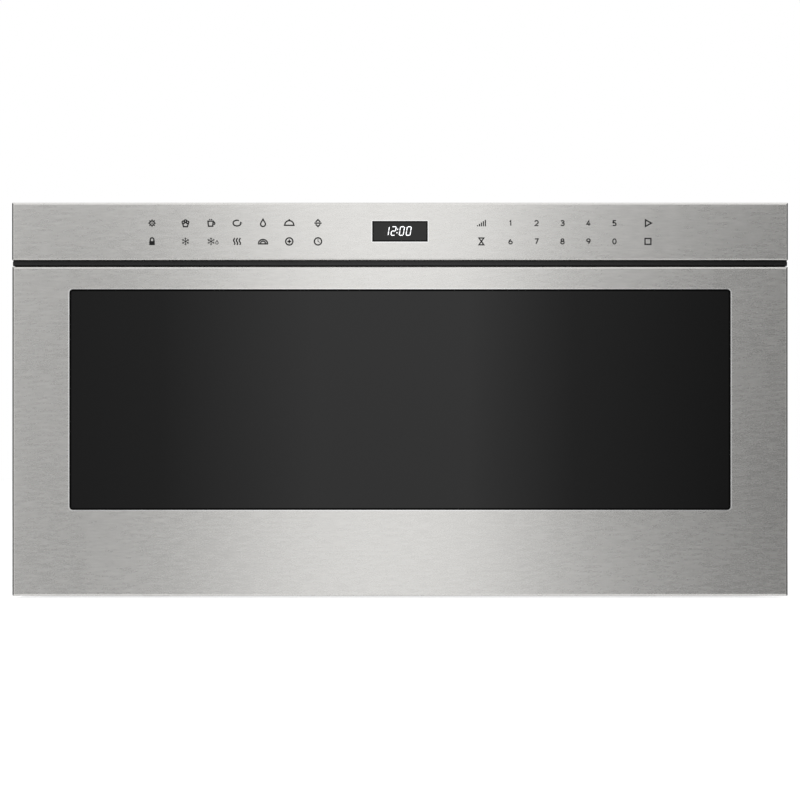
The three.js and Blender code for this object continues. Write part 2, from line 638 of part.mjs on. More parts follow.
const slides = new THREE.Group();
assembly.add(slides);
for (const [side, sign] of SIDES) {
  const outer = channel(SLIDE_THICKNESS, outerLip, outerHalf, SLIDE_SHEET, slideSpan);
  const middle = channel(middleWeb, middleLip, middleHalf, SLIDE_SHEET, slideSpan);
  const inner = channel(0, innerLip, innerHalf, SLIDE_SHEET, slideSpan);
  piece(`slide_outer_${side}`, onSide(outer, sign), "zinc", slides);
  piece(`slide_middle_${side}`, onSide(middle, sign), "zinc", slides);
  piece(`slide_inner_${side}`, onSide(inner, sign), "zinc", slides);
  const outerCage = cage(SLIDE_THICKNESS - SLIDE_SHEET - JOIN, middleLip + 1, middleHalf);
  const innerCage = cage(middleWeb - SLIDE_SHEET - JOIN, middleLip + 1, innerHalf);
  piece(`ball_cage_outer_${side}`, onSide(outerCage, sign), "bearing", slides);
  piece(`ball_cage_inner_${side}`, onSide(innerCage, sign), "bearing", slides);
}

/** Bracket between the base pan and a slide's fixed member. */
function makeSlideBracket() {
  const foot = 20;
  const path = [
    [bracketX + foot, panTop + JOIN],
    [bracketX, panTop + JOIN],
    [bracketX, slideZ + outerHalf],
  ];
  return prism("y", foldedSheet(path.reverse(), 2), slideSpan);
}

// ---------------------------------------------------------------- drive

/** A spur gear's outline with involute flanks; a phase of 0.5 puts a gap on the first axis. */
function gearOutline([u, v], module, teeth, phase = 0) {
  const pitch = (module * teeth) / 2;
  const base = pitch * Math.cos(GEAR_PRESSURE_ANGLE);
  const tip = pitch + module;
  const root = pitch - 1.25 * module;
  const involute = (radius) => {
    const angle = Math.acos(Math.min(1, base / radius));
    return Math.tan(angle) - angle;
  };
  const halfAtPitch = Math.PI / (2 * teeth) - GEAR_BACKLASH / (2 * pitch);
  const halfAt = (radius) => halfAtPitch + involute(pitch) - involute(radius);
  const radii = [root, Math.max(base, root + 0.1 * module), pitch, tip];
  const outline = [];
  for (let tooth = 0; tooth < teeth; tooth++) {
    const middle = ((tooth + phase) * 2 * Math.PI) / teeth;
    const rising = radii.map((radius) => [radius, middle - halfAt(radius)]);
    const falling = radii.map((radius) => [radius, middle + halfAt(radius)]).reverse();
    for (const [radius, angle] of [...rising, ...falling]) {
      outline.push([u + radius * Math.cos(angle), v + radius * Math.sin(angle)]);
    }
  }
  return outline;
}

const shaftPlace = [shaftY, shaftZ];
const motorPinionPlace = [shaftY + (DRIVE_MODULE * (DRIVE_GEAR_TEETH + MOTOR_PINION_TEETH)) / 2, shaftZ];
const shaftHalf = rackX[1] + 0.6;
const driveGearX = [DRIVE_GEAR_OFFSET, DRIVE_GEAR_OFFSET + DRIVE_GEAR_WIDTH];
const bore = (span) => rod("x", shaftPlace, SHAFT_RADIUS + 0.4, grown(span, 1), 16);

const drive = new THREE.Group();
assembly.add(drive);
piece("drive_shaft", rod("x", shaftPlace, SHAFT_RADIUS, across(shaftHalf), 16), "darkSteel", drive);
const driveGear = prism("x", gearOutline(shaftPlace, DRIVE_MODULE, DRIVE_GEAR_TEETH, 0.5), driveGearX);
const driveHub = rod("x", shaftPlace, SHAFT_RADIUS + 5, [driveGearX[1] - 1, driveGearX[1] + 8], 16);
piece("drive_gear", cut(join(driveGear, driveHub), bore([driveGearX[0], driveGearX[1] + 8])), "nylon", drive);
const motorPinion = prism("x", gearOutline(motorPinionPlace, DRIVE_MODULE, MOTOR_PINION_TEETH), driveGearX);
const motorStub = rod("x", motorPinionPlace, 2.5, [driveGearX[0] - 2 - 5.5, driveGearX[0] + 1], 12);
piece("motor_pinion", join(motorPinion, motorStub), "darkSteel", drive);
for (const [side, sign] of SIDES) {
  const teeth = prism("x", gearOutline(shaftPlace, RACK_MODULE, PINION_TEETH), rackX);
  const hubX = [rackX[0] - 8, rackX[0] + 1];
  const hub = rod("x", shaftPlace, SHAFT_RADIUS + 4, hubX, 16);
  piece(`pinion_${side}`, onSide(cut(join(teeth, hub), bore([hubX[0], rackX[1]])), sign), "nylon", drive);
  const blockX = [hubX[0] - 18, hubX[0] - 4];
  const block = box(blockX, grown([shaftY, shaftY], 13), [panTop + JOIN, shaftZ + 10]);
  const flange = box(blockX, grown([shaftY, shaftY], 22), [panTop + JOIN, panTop + JOIN + 3]);
  piece(`shaft_bearing_${side}`, onSide(cut(join(block, flange), bore(blockX)), sign), "blackPlastic", drive);
  piece(`slide_bracket_${side}`, onSide(makeSlideBracket(), sign), "galvanised", drive);
}

/** Gear motor under the cavity: the gearbox, its output beside the drive gear, and the motor on its side. */
function makeDriveMotor() {
  const boxX = [driveGearX[0] - 2 - GEARBOX_WIDTH, driveGearX[0] - 2];
  const boxY = [shaftY + GEARBOX_SETBACK, shaftY + GEARBOX_SETBACK + GEARBOX_DEPTH];
  const gearbox = box(boxX, boxY, [panTop + JOIN, cavityFloor - CAVITY_WALL - 5]);
  const centre = [boxY[1] - GEARBOX_DEPTH / 2 + 2, shaftZ + 2];
  const motorEnd = boxX[0] - MOTOR_LENGTH;
  const can = rod("x", centre, MOTOR_RADIUS, [motorEnd, boxX[0] + 1], 24);
  const boss = rod("x", centre, MOTOR_RADIUS / 3, [motorEnd - 4, motorEnd + 1], 12);
  const outputHole = rod("x", motorPinionPlace, 3, [boxX[1] - 6, boxX[1] + 1], 12);
  return cut(join(gearbox, can, boss), outputHole);
}
piece("drive_motor", makeDriveMotor(), "darkSteel", drive);

// ---------------------------------------------------------------- cabinet

const cabinetDepth = [chassisFront, backPanelFront - JOIN];

function makeBasePan() {
  const edge = chassisHalf - SHEET - JOIN;
  const skidIn = (SKID_SPACING - SKID_WIDTH) / 2;
  const skidOut = (SKID_SPACING + SKID_WIDTH) / 2;
  const slant = SKID_HEIGHT;
  const half = [
    [skidIn - slant, SKID_HEIGHT],
    [skidIn, 0],
    [skidOut, 0],
    [skidOut + slant, SKID_HEIGHT],
    [edge, SKID_HEIGHT],
    [edge, SKID_HEIGHT + PAN_FLANGE],
  ];
  const mirrored = half.map(([x, z]) => [-x, z]).reverse();
  return prism("y", foldedSheet([...mirrored, ...half], SHEET), cabinetDepth);
}

/** A row of upright vent slots cut through a side or the back. */
function slots(axis, count, first, step, rise, through) {
  const tools = [];
  for (let i = 0; i < count; i++) {
    const place = [first + i * step, first + i * step + VENT_SLOT];
    tools.push(axis === "y" ? box(through, place, rise) : box(place, through, rise));
  }
  return tools;
}

function makeCabinetCover() {
  const path = [
    [-chassisHalf, SKID_HEIGHT],
    [-chassisHalf, chassisTop],
    [chassisHalf, chassisTop],
    [chassisHalf, SKID_HEIGHT],
  ];
  const wrap = prism("y", foldedSheet(path, -SHEET), cabinetDepth);
  const rise = [chassisTop - SIDE_VENT_DROP - VENT_HEIGHT, chassisTop - SIDE_VENT_DROP];
  const vents = SIDES.flatMap(([, sign]) => {
    const through = [chassisHalf - SHEET - 1, chassisHalf + 1].map((x) => x * sign).sort((a, b) => a - b);
    return slots("y", SIDE_VENTS, cabinetDepth[1] - SIDE_VENT_SETBACK, VENT_PITCH, rise, through);
  });
  return cut(wrap, ...vents);
}

const gland = { x: GLAND_EDGE - chassisHalf, z: GLAND_HEIGHT, radius: GLAND_RADIUS };

function makeBackPanel() {
  const plate = box(across(chassisHalf), [backPanelFront, chassisBack], [SKID_HEIGHT, chassisTop]);
  const through = grown([backPanelFront, chassisBack], 1);
  const outletRise = [chassisTop - BACK_VENT_DROP - VENT_HEIGHT, chassisTop - BACK_VENT_DROP];
  const outlet = slots("x", BACK_VENTS, OUTLET_START, VENT_PITCH, outletRise, through);
  const intakeRise = [INTAKE_BOTTOM, INTAKE_BOTTOM + VENT_HEIGHT];
  const intake = slots("x", BACK_VENTS, INTAKE_START, VENT_PITCH, intakeRise, through);
  const cordHole = rod("y", [gland.x, gland.z], gland.radius, through, 24);
  return cut(plate, ...outlet, ...intake, cordHole);
}

function makeCordGland() {
  const middle = [gland.x, gland.z];
  const neck = rod("y", middle, gland.radius - 0.4, [backPanelFront - 8, chassisBack + 1], 24);
  const collar = rod("y", middle, gland.radius + 4, [chassisBack + JOIN, chassisBack + GLAND_PROTRUSION], 24);
  const hole = rod("y", middle, gland.radius - 5.5, [backPanelFront - 9, overallDepth + 1], 16);
  return cut(join(neck, collar), hole);
}

/** Steel frame behind the door, with the cavity's mouth and the slots that the arms run through. */
function makeFrontFrame() {
  const depth = [frameFront, frameBack];
  const through = [frameFront - 1, frameBack + FRAME + 1];
  const frameTop = panelTop - FRAME_REVEAL;
  const rise = [FRAME_BOTTOM, frameTop];
  const hem = box([frameHalf - HEM, frameHalf], [frameFront, frameBack + FRAME], rise);
  const plate = join(box(across(frameHalf), depth, rise), ...SIDES.map(([, sign]) => onSide(hem, sign)));
  const mouth = prism("y", roundedRectangle(mouthSpan, mouthRise, 10), through);
  const harnessRise = [panelBottom + HARNESS_MARGIN, frameTop - HARNESS_MARGIN];
  const harness = box(across(HARNESS_WIDTH / 2), through, harnessRise);
  const tools = [mouth, harness];
  for (const [, sign] of SIDES) {
    const slotRise = [rackPitchZ - RACK_MODULE - 2, armBottom + ARM_HEIGHT + 2];
    const armSlot = box([armX - 4, bracketX - 0.8], through, slotRise);
    const latchSlot = box(grown(latch.x, 6), through, grown(latch.z, 3));
    tools.push(onSide(armSlot, sign), onSide(latchSlot, sign));
    for (const z of [FRAME_BOTTOM + FIXING_ENDS, frameTop - FIXING_ENDS]) {
      tools.push(onSide(rod("y", [frameHalf - HEM / 2, z], FIXING_HOLE, through, 12), sign));
    }
  }
  return cut(plate, ...tools);
}

const cabinet = new THREE.Group();
assembly.add(cabinet);
piece("base_pan", makeBasePan(), "galvanised", cabinet);
piece("cabinet_cover", makeCabinetCover(), "galvanised", cabinet);
piece("back_panel", makeBackPanel(), "galvanised", cabinet);
piece("cord_gland", makeCordGland(), "blackPlastic", cabinet);
piece("front_frame", makeFrontFrame(), "frameSteel", cabinet);

// ---------------------------------------------------------------- control panel and vent trim

const panelSpan = across(panelHalf);
const panelRise = [panelBottom, panelTop];
const displayZ = panelTop - DISPLAY_DROP;
const displaySpan = across(DISPLAY_WIDTH / 2);
const displayRise = [displayZ - DISPLAY_HEIGHT / 2, displayZ + DISPLAY_HEIGHT / 2];
const housingWall = 2.5;
const housingFront = SKIN + JOIN;
const lensDepth = [DISPLAY_RECESS, housingFront + housingWall];

function makeControlHousing() {
  const span = grown(panelSpan, -SKIN - JOIN);
  const rise = grown(panelRise, -SKIN - JOIN);
  const body = box(span, [housingFront, frameFront - JOIN], rise);
  const hollowDepth = [housingFront + housingWall, frameFront];
  const hollow = box(grown(span, -housingWall), hollowDepth, grown(rise, -housingWall));
  return cut(body, hollow, box(displaySpan, [0, frameFront], displayRise));
}

/** Control board with its display module in front and relays behind. */
function makeControlBoard() {
  const boardY = [CONTROL_BOARD_DEPTH, CONTROL_BOARD_DEPTH + BOARD_THICKNESS];
  const board = box(across(CONTROL_BOARD_WIDTH / 2), boardY, grown(panelRise, -8));
  const moduleY = [lensDepth[1] + JOIN, boardY[0] + 0.5];
  const displayModule = box(grown(displaySpan, -2), moduleY, grown(displayRise, -1));
  const relays = [-0.36, -0.28, 0.18].map((share) => {
    const start = share * CONTROL_BOARD_WIDTH;
    const depth = [boardY[1] - 0.5, boardY[1] + RELAY_HEIGHT - 4];
    return box([start, start + RELAY_WIDTH], depth, grown([displayZ, displayZ], RELAY_WIDTH / 2 - 2));
  });
  const connectorDepth = [boardY[1] - 0.5, boardY[1] + 8];
  const connector = box(across(1.5 * RELAY_WIDTH), connectorDepth, [displayZ - 18, displayZ - 10]);
  return join(board, displayModule, ...relays, connector);
}

function makeVentTrim() {
  const recess = VENT_RECESS;
  const low = doorTop + PART_CLEARANCE;
  const high = panelBottom - JOIN;
  const back = frameFront - JOIN;
  const path = [
    [recess, low],
    [recess, high],
    [back, high],
    [back, low],
  ];
  return prism("x", foldedSheet(path, -1.2), across(doorHalf - VENT_INSET));
}

const controls = new THREE.Group();
assembly.add(controls);
const displayHole = box(displaySpan, [-1, SKIN + 1], displayRise);
piece("control_panel", cut(skinTray(panelSpan, panelRise), displayHole), "stainless", controls);
piece("control_housing", makeControlHousing(), "blackPlastic", controls);
const lens = box(grown(displaySpan, -JOIN), lensDepth, grown(displayRise, -JOIN));
piece("display_lens", lens, "blackGlass", controls);
piece("control_board", makeControlBoard(), "board", controls);
piece("vent_trim", makeVentTrim(), "blackPlastic", controls);

// ---------------------------------------------------------------- oven cavity and microwave system

const lamp = { y: frameBack + LAMP_DISTANCE, z: cavityCeiling - LAMP_DROP, hole: 14 };

function makeOvenCavity() {
  const depth = [chassisFront, cavityBack + CAVITY_WALL];
  const outside = box(grown(mouthSpan, CAVITY_WALL), depth, grown(mouthRise, CAVITY_WALL));
  const flangeDepth = [chassisFront, chassisFront + 1.2];
  const flange = box(grown(mouthSpan, CAVITY_FLANGE), flangeDepth, grown(mouthRise, CAVITY_FLANGE - 3));
  const inside = box(mouthSpan, [0, cavityBack], mouthRise);
  const half = FEED_HOLE / 2;
  const feed = box(across(half), [feedY - half, feedY + half], [cavityCeiling - 1, cavityTop + 1]);
  const lampHole = rod("x", [lamp.y, lamp.z], lamp.hole, [cavityHalf - 1, cavityHalf + CAVITY_WALL + 1], 16);
  return cut(join(outside, flange), inside, feed, lampHole);
}

/** Waveguide: a feed box over the stirrer and a duct that runs back over the magnetron. */
function makeWaveguide() {
  const wall = 1.2;
  const guideEnd = magnetronY + MAGNETRON_DEPTH / 2;
  const half = FEED_SIZE / 2;
  const rise = [guideBottom, guideTop];
  const around = grown([feedY, feedY], half);
  const feedBox = (by) => box(grown(across(half), by), grown(around, by), grown(rise, by));
  const duct = (by) => box(grown(across(GUIDE_WIDTH / 2), by), grown([feedY, guideEnd], by), grown(rise, by));
  const feedHole = FEED_HOLE / 2;
  const throughFloor = [guideBottom - 1, guideBottom + wall + 1];
  const below = box(across(feedHole), grown([feedY, feedY], feedHole), throughFloor);
  const antennaHole = rod("z", [0, magnetronY], 13, throughFloor, 20);
  const shaftHole = rod("z", [0, feedY], 6, [guideTop - wall - 1, guideTop + 1], 16);
  return cut(join(feedBox(0), duct(0)), feedBox(-wall), duct(-wall), below, antennaHole, shaftHole);
}

/** Three-bladed metal stirrer that spreads the microwaves; it turns about Z. */
function makeStirrer() {
  const low = guideBottom + 9;
  const shaft = rod("z", [0, feedY], 3, [low - 1, guideTop + 0.2], 12);
  const hub = rod("z", [0, feedY], 8, [low - 2, low + 6], 16);
  const blades = [0, 1, 2].map((i) => {
    const blade = new THREE.BoxGeometry(STIRRER_RADIUS, STIRRER_BLADE, 1.5);
    blade.rotateX(THREE.MathUtils.degToRad(18)).translate(STIRRER_RADIUS / 2, 0, low + 2);
    return solidOf(blade.rotateZ((i * 2 * Math.PI) / 3).translate(0, feedY, 0));
  });
  return join(shaft, hub, ...blades);
}

function makeStirrerMotor() {
  const low = guideTop + JOIN;
  const body = rod("z", [0, feedY], STIRRER_MOTOR_RADIUS, [low + 0.5, low + STIRRER_MOTOR_HEIGHT], 28);
  const ears = box(across(STIRRER_MOTOR_RADIUS + 6), [feedY - 6, feedY + 6], [low, low + 2]);
  return join(body, ears);
}

/** Magnetron: a yoke open to the cooling air, fins on the tube, the filter box below and the antenna above. */
function makeMagnetron() {
  const top = guideBottom - JOIN;
  const low = top - MAGNETRON_HEIGHT;
  const span = across(MAGNETRON_WIDTH / 2);
  const depth = grown([magnetronY, magnetronY], MAGNETRON_DEPTH / 2);
  const ring = cut(box(span, depth, [low, top]), box(grown(span, 1), grown(depth, -2), [low + 2, top - 2]));
  const tube = rod("z", [0, magnetronY], 19, [low, top], 20);
  const fins = Array.from({ length: MAGNETRON_FINS }, (_, i) => {
    const z = low + ((i + 1.25) * MAGNETRON_HEIGHT) / (MAGNETRON_FINS + 1.8);
    return box(across(MAGNETRON_WIDTH / 2 - 6), grown(depth, -1.5), [z, z + 1]);
  });
  const filterDepth = grown([magnetronY, magnetronY], MAGNETRON_DEPTH / 2 - 6);
  const filter = box(across(MAGNETRON_WIDTH / 2 - 10), filterDepth, [low - FILTER_HEIGHT, low + 0.5]);
  const base = rod("z", [0, magnetronY], 12, [top - 1, guideBottom + 8], 20);
  const antenna = rod("z", [0, magnetronY], 8, [guideBottom + 7, guideBottom + ANTENNA_REACH], 16);
  return join(ring, tube, ...fins, filter, base, antenna);
}

/** Transformer: a laminated core with its coils and two mounting feet. */
function makeTransformer() {
  const x = TRANSFORMER_OFFSET;
  const low = panTop + JOIN;
  const span = grown([x, x], TRANSFORMER_WIDTH / 2);
  const depth = grown([magnetronY, magnetronY], TRANSFORMER_DEPTH / 2);
  const rise = [low + 2, low + 2 + TRANSFORMER_HEIGHT];
  const inCore = (by, out) => {
    const inset = by - TRANSFORMER_LEG;
    return box(grown(span, inset), grown(depth, out), grown(rise, inset));
  };
  const core = cut(box(span, depth, rise), inCore(0, 1));
  const coils = inCore(0.5, 10);
  const feet = box(grown(span, 8), grown(depth, -4), [low, low + 2.5]);
  return join(core, coils, feet);
}

function makeCapacitor() {
  const x = CAPACITOR_OFFSET;
  const span = grown([x, x], CAPACITOR_WIDTH / 2);
  const depth = grown([magnetronY, magnetronY], CAPACITOR_DEPTH / 2);
  const low = panTop + JOIN;
  const top = low + CAPACITOR_HEIGHT;
  const can = prism("z", roundedRectangle(span, depth, CAPACITOR_DEPTH / 2 - 1), [low, top]);
  const terminals = [-10, 10].map((shift) => rod("z", [x + shift, magnetronY], 3, [top - 1, top + 10], 10));
  return join(can, ...terminals);
}

const fanMotorFace = FAN_OFFSET - FAN_DEPTH / 2 - FAN_MOTOR_GAP;

/** Upright plate with the fan's duct; it stands on the base pan. */
function makeFanShroud() {
  const plateX = [FAN_OFFSET - 12, FAN_OFFSET - 10];
  const width = grown([magnetronY, magnetronY], SHROUD_WIDTH / 2);
  const plate = box(plateX, width, [panTop + JOIN, fanPlace[1] + SHROUD_WIDTH / 2]);
  const collar = rod("x", fanPlace, FAN_RADIUS + 5, [plateX[0] + 1, plateX[0] + FAN_DEPTH + 10], 36);
  const tunnel = rod("x", fanPlace, FAN_RADIUS + 3, [plateX[0] - 1, plateX[0] + FAN_DEPTH + 11], 36);
  const foot = box([plateX[0], plateX[1] + 16], width, [panTop + JOIN, panTop + JOIN + 2]);
  return cut(join(plate, collar, foot), tunnel);
}

/** Fan rotor: five pitched blades on a hub, with its shaft; it turns about X. */
function makeFanBlade() {
  const hub = rod("x", fanPlace, FAN_HUB_RADIUS, grown([FAN_OFFSET, FAN_OFFSET], FAN_DEPTH / 2), 20);
  const shaft = rod("x", fanPlace, 3, [fanMotorFace + JOIN, FAN_OFFSET], 12);
  const count = 5;
  const blades = Array.from({ length: count }, (_, i) => {
    const reach = FAN_RADIUS - FAN_HUB_RADIUS + 3;
    const blade = new THREE.BoxGeometry(1.6, 2 * FAN_HUB_RADIUS, reach);
    blade.rotateZ(THREE.MathUtils.degToRad(62)).translate(0, 0, FAN_HUB_RADIUS - 3 + reach / 2);
    return solidOf(blade.rotateX((i * 2 * Math.PI) / count).translate(FAN_OFFSET, ...fanPlace));
  });
  const keep = rod("x", fanPlace, FAN_RADIUS, grown([FAN_OFFSET, FAN_OFFSET], FAN_DEPTH / 2), 36);
  return join(join(...blades).intersect(keep), hub, shaft);
}

function makeFanMotor() {
  const face = fanMotorFace;
  const plateX = FAN_OFFSET - 12;
  const body = rod("x", fanPlace, FAN_MOTOR_RADIUS, [face - FAN_MOTOR_LENGTH, face], 24);
  const clearance = rod("x", fanPlace, FAN_MOTOR_RADIUS - 6, [face, face + 7], 20);
  const legs = [-1, 1].map((side) => {
    const z = fanPlace[1] + side * (FAN_MOTOR_RADIUS - 4);
    const across = grown([magnetronY, magnetronY], SHROUD_WIDTH / 2 - 2);
    const leg = box([face - 4, plateX - JOIN], across, [z - 4, z + 4]);
    return cut(leg, clearance);
  });
  return join(body, ...legs);
}

/** Power board on four posts, with its relays, filter coil and fuse. */
function makePowerBoard() {
  const low = panTop + JOIN;
  const span = [BOARD_EDGE - chassisHalf, BOARD_EDGE + BOARD_WIDTH - chassisHalf];
  const depth = grown([magnetronY, magnetronY], BOARD_DEPTH / 2);
  const top = low + BOARD_POST + BOARD_THICKNESS;
  const board = box(span, depth, [low + BOARD_POST, top]);
  const postRise = [low, low + BOARD_POST + 0.5];
  const posts = grown(span, -BOARD_POST_INSET).flatMap((x) =>
    grown(depth, -BOARD_POST_INSET).map((y) => rod("z", [x, y], 4, postRise, 10)),
  );
  const relays = [0, 1, 2].map((i) => {
    const start = span[0] + BOARD_MARGIN + 1.3 * i * RELAY_WIDTH;
    const along = [depth[0] + 18, depth[0] + 18 + 1.4 * RELAY_WIDTH];
    return box([start, start + RELAY_WIDTH], along, [top - 0.5, top + RELAY_HEIGHT]);
  });
  const coilPlace = [span[1] - BOARD_MARGIN - 10, magnetronY + 10];
  const coil = rod("z", coilPlace, COIL_RADIUS, [top - 0.5, top + COIL_HEIGHT], 20);
  const fuseStart = span[0] + BOARD_MARGIN;
  const fuseDepth = [depth[1] - 30, depth[1] - 22];
  const fuse = box([fuseStart, fuseStart + FUSE_LENGTH], fuseDepth, [top - 0.5, top + FUSE_HEIGHT]);
  return join(board, ...posts, ...relays, coil, fuse);
}

/** Lamp on the cavity's side: a housing open towards the wall's hole, with its bulb. */
function makeOvenLamp() {
  const wallX = cavityHalf + CAVITY_WALL + JOIN;
  const span = [wallX, wallX + LAMP_DEPTH];
  const depth = grown([lamp.y, lamp.y], LAMP_SIZE / 2);
  const rise = grown([lamp.z, lamp.z], LAMP_SIZE / 2);
  const hollow = box([wallX - 1, span[1] - 1.5], grown(depth, -1.5), grown(rise, -1.5));
  const shell = cut(box(span, depth, rise), hollow);
  const bulb = rod("x", [lamp.y, lamp.z], 9, [wallX + 6, span[1] - 1], 14);
  return join(shell, bulb);
}

const oven = new THREE.Group();
assembly.add(oven);
piece("oven_cavity", makeOvenCavity(), "enamel", oven);
const coverRise = [cavityCeiling - JOIN - 1.5, cavityCeiling - JOIN];
const coverHalf = FEED_SIZE / 2 + 4;
piece("stirrer_cover", box(across(coverHalf), grown([feedY, feedY], coverHalf), coverRise), "mica", oven);
piece("waveguide", makeWaveguide(), "galvanised", oven);
piece("stirrer", makeStirrer(), "aluminium", oven);
piece("stirrer_motor", makeStirrerMotor(), "darkSteel", oven);
piece("magnetron", makeMagnetron(), "aluminium", oven);
piece("transformer", makeTransformer(), "copper", oven);
piece("hv_capacitor", makeCapacitor(), "aluminium", oven);
piece("fan_shroud", makeFanShroud(), "galvanised", oven);
piece("fan_blade", makeFanBlade(), "blackPlastic", oven);
piece("fan_motor", makeFanMotor(), "darkSteel", oven);
piece("power_board", makePowerBoard(), "board", oven);
piece("oven_lamp", makeOvenLamp(), "galvanised", oven);

/** Interlock switch behind the front frame, next to the hook that works it. */
function makeInterlockSwitch() {
  const bodyX = [latch.x[1] + 2, latch.x[1] + 2 + SWITCH_WIDTH];
  const bodyY = [chassisFront + 4, chassisFront + 4 + SWITCH_DEPTH];
  const bodyZ = grown(latch.z, LATCH_HEIGHT / 2);
  const body = box(bodyX, bodyY, bodyZ);
  const footX = [bodyX[0] + SWITCH_WIDTH / 3, bodyX[1]];
  const plateY = [chassisFront, chassisFront + 1.5];
  const plate = box([footX[0], bodyX[1] + 8], plateY, grown(bodyZ, LATCH_HEIGHT / 2));
  const bracket = box(footX, [chassisFront, chassisFront + 5], bodyZ);
  const terminals = [3, 9].map((shift) => {
    const z = bodyZ[0] + shift;
    return box([footX[0] + 1, footX[0] + 2], [bodyY[1] - 1, bodyY[1] + 7], [z, z + 4]);
  });
  return join(body, plate, bracket, ...terminals);
}
for (const [side, sign] of SIDES) {
  piece(`interlock_switch_${side}`, onSide(makeInterlockSwitch(), sign), "blackPlastic", oven);
}

const microwaveDrawer = new THREE.Group();
microwaveDrawer.add(assembly);

export default microwaveDrawer;
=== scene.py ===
"""Looks of the microwave drawer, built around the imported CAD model.

The scene's unit is the metre. Sizes written in mm pass through MM or place().
"""

import math

import bmesh
import bpy
from mathutils import Matrix, Vector


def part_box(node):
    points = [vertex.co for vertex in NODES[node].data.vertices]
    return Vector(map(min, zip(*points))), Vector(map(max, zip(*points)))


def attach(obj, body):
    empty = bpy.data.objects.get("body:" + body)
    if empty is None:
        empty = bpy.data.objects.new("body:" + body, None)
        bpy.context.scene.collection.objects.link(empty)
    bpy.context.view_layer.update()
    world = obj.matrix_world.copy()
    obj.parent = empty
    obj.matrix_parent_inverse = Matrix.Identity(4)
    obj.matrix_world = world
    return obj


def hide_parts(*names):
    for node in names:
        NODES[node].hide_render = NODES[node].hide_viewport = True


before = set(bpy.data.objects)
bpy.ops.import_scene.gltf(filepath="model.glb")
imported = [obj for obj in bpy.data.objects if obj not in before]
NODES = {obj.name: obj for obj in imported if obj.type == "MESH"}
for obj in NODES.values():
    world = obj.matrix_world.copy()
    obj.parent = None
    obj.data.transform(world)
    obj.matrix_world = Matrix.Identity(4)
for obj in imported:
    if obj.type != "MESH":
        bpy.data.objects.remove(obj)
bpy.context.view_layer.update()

MM = 0.001
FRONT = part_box("drawer_front")[0][1]  # the front plane's Y
SIDES = (-1, 1)
UP, REAR, AHEAD = (0, 0, 1), (0, 1, 0), (0, -1, 0)
scene = bpy.context.scene


def place(x, d, z):
    """A point at x and z, d behind the front plane, all in mm."""
    return Vector((x * MM, FRONT + d * MM, z * MM))


def corners(node):
    """A CAD node's box in mm, its depth counted from the front plane: (lowest, highest)."""
    return tuple([p[0] / MM, (p[1] - FRONT) / MM, p[2] / MM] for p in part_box(node))


def spread(start, end, count):
    """Evenly spaced values from start to end."""
    return [start + (end - start) * n / (count - 1) for n in range(count)]


def turns_of(count):
    """The angles of count even steps round a circle."""
    return [2 * math.pi * n / count for n in range(count)]


def new_object(name, data):
    thing = bpy.data.objects.new(name, data)
    scene.collection.objects.link(thing)
    return thing


# ---------------------------------------------------------------- materials


class Graph:
    """Shader nodes of a material or the world. A socket takes another socket or a constant."""

    def __init__(self, owner):
        owner.use_nodes = True
        self.tree = owner.node_tree
        self.tree.nodes.clear()

    def add(self, kind, settings=None, **sockets):
        node = self.tree.nodes.new(kind)
        for key, value in (settings or {}).items():
            setattr(node, key, value)
        return self.fill(node, sockets)

    def fill(self, node, sockets):
        """Sets a node's sockets: _0 is the first of them, and in a name underscores stand for spaces."""
        for key, value in sockets.items():
            self.put(node.inputs[int(key[1:]) if key[0] == "_" else key.replace("_", " ")], value)
        return node

    def put(self, socket, value):
        if isinstance(value, bpy.types.NodeSocket):
            self.tree.links.new(value, socket)
        elif value is not None:
            if socket.type == "RGBA" and len(value) == 3:
                value = (*value, 1.0)
            socket.default_value = value

    def math(self, operation, a, b=None, clamp=False):
        return self.add("ShaderNodeMath", {"operation": operation, "use_clamp": clamp}, _0=a, _1=b).outputs[0]


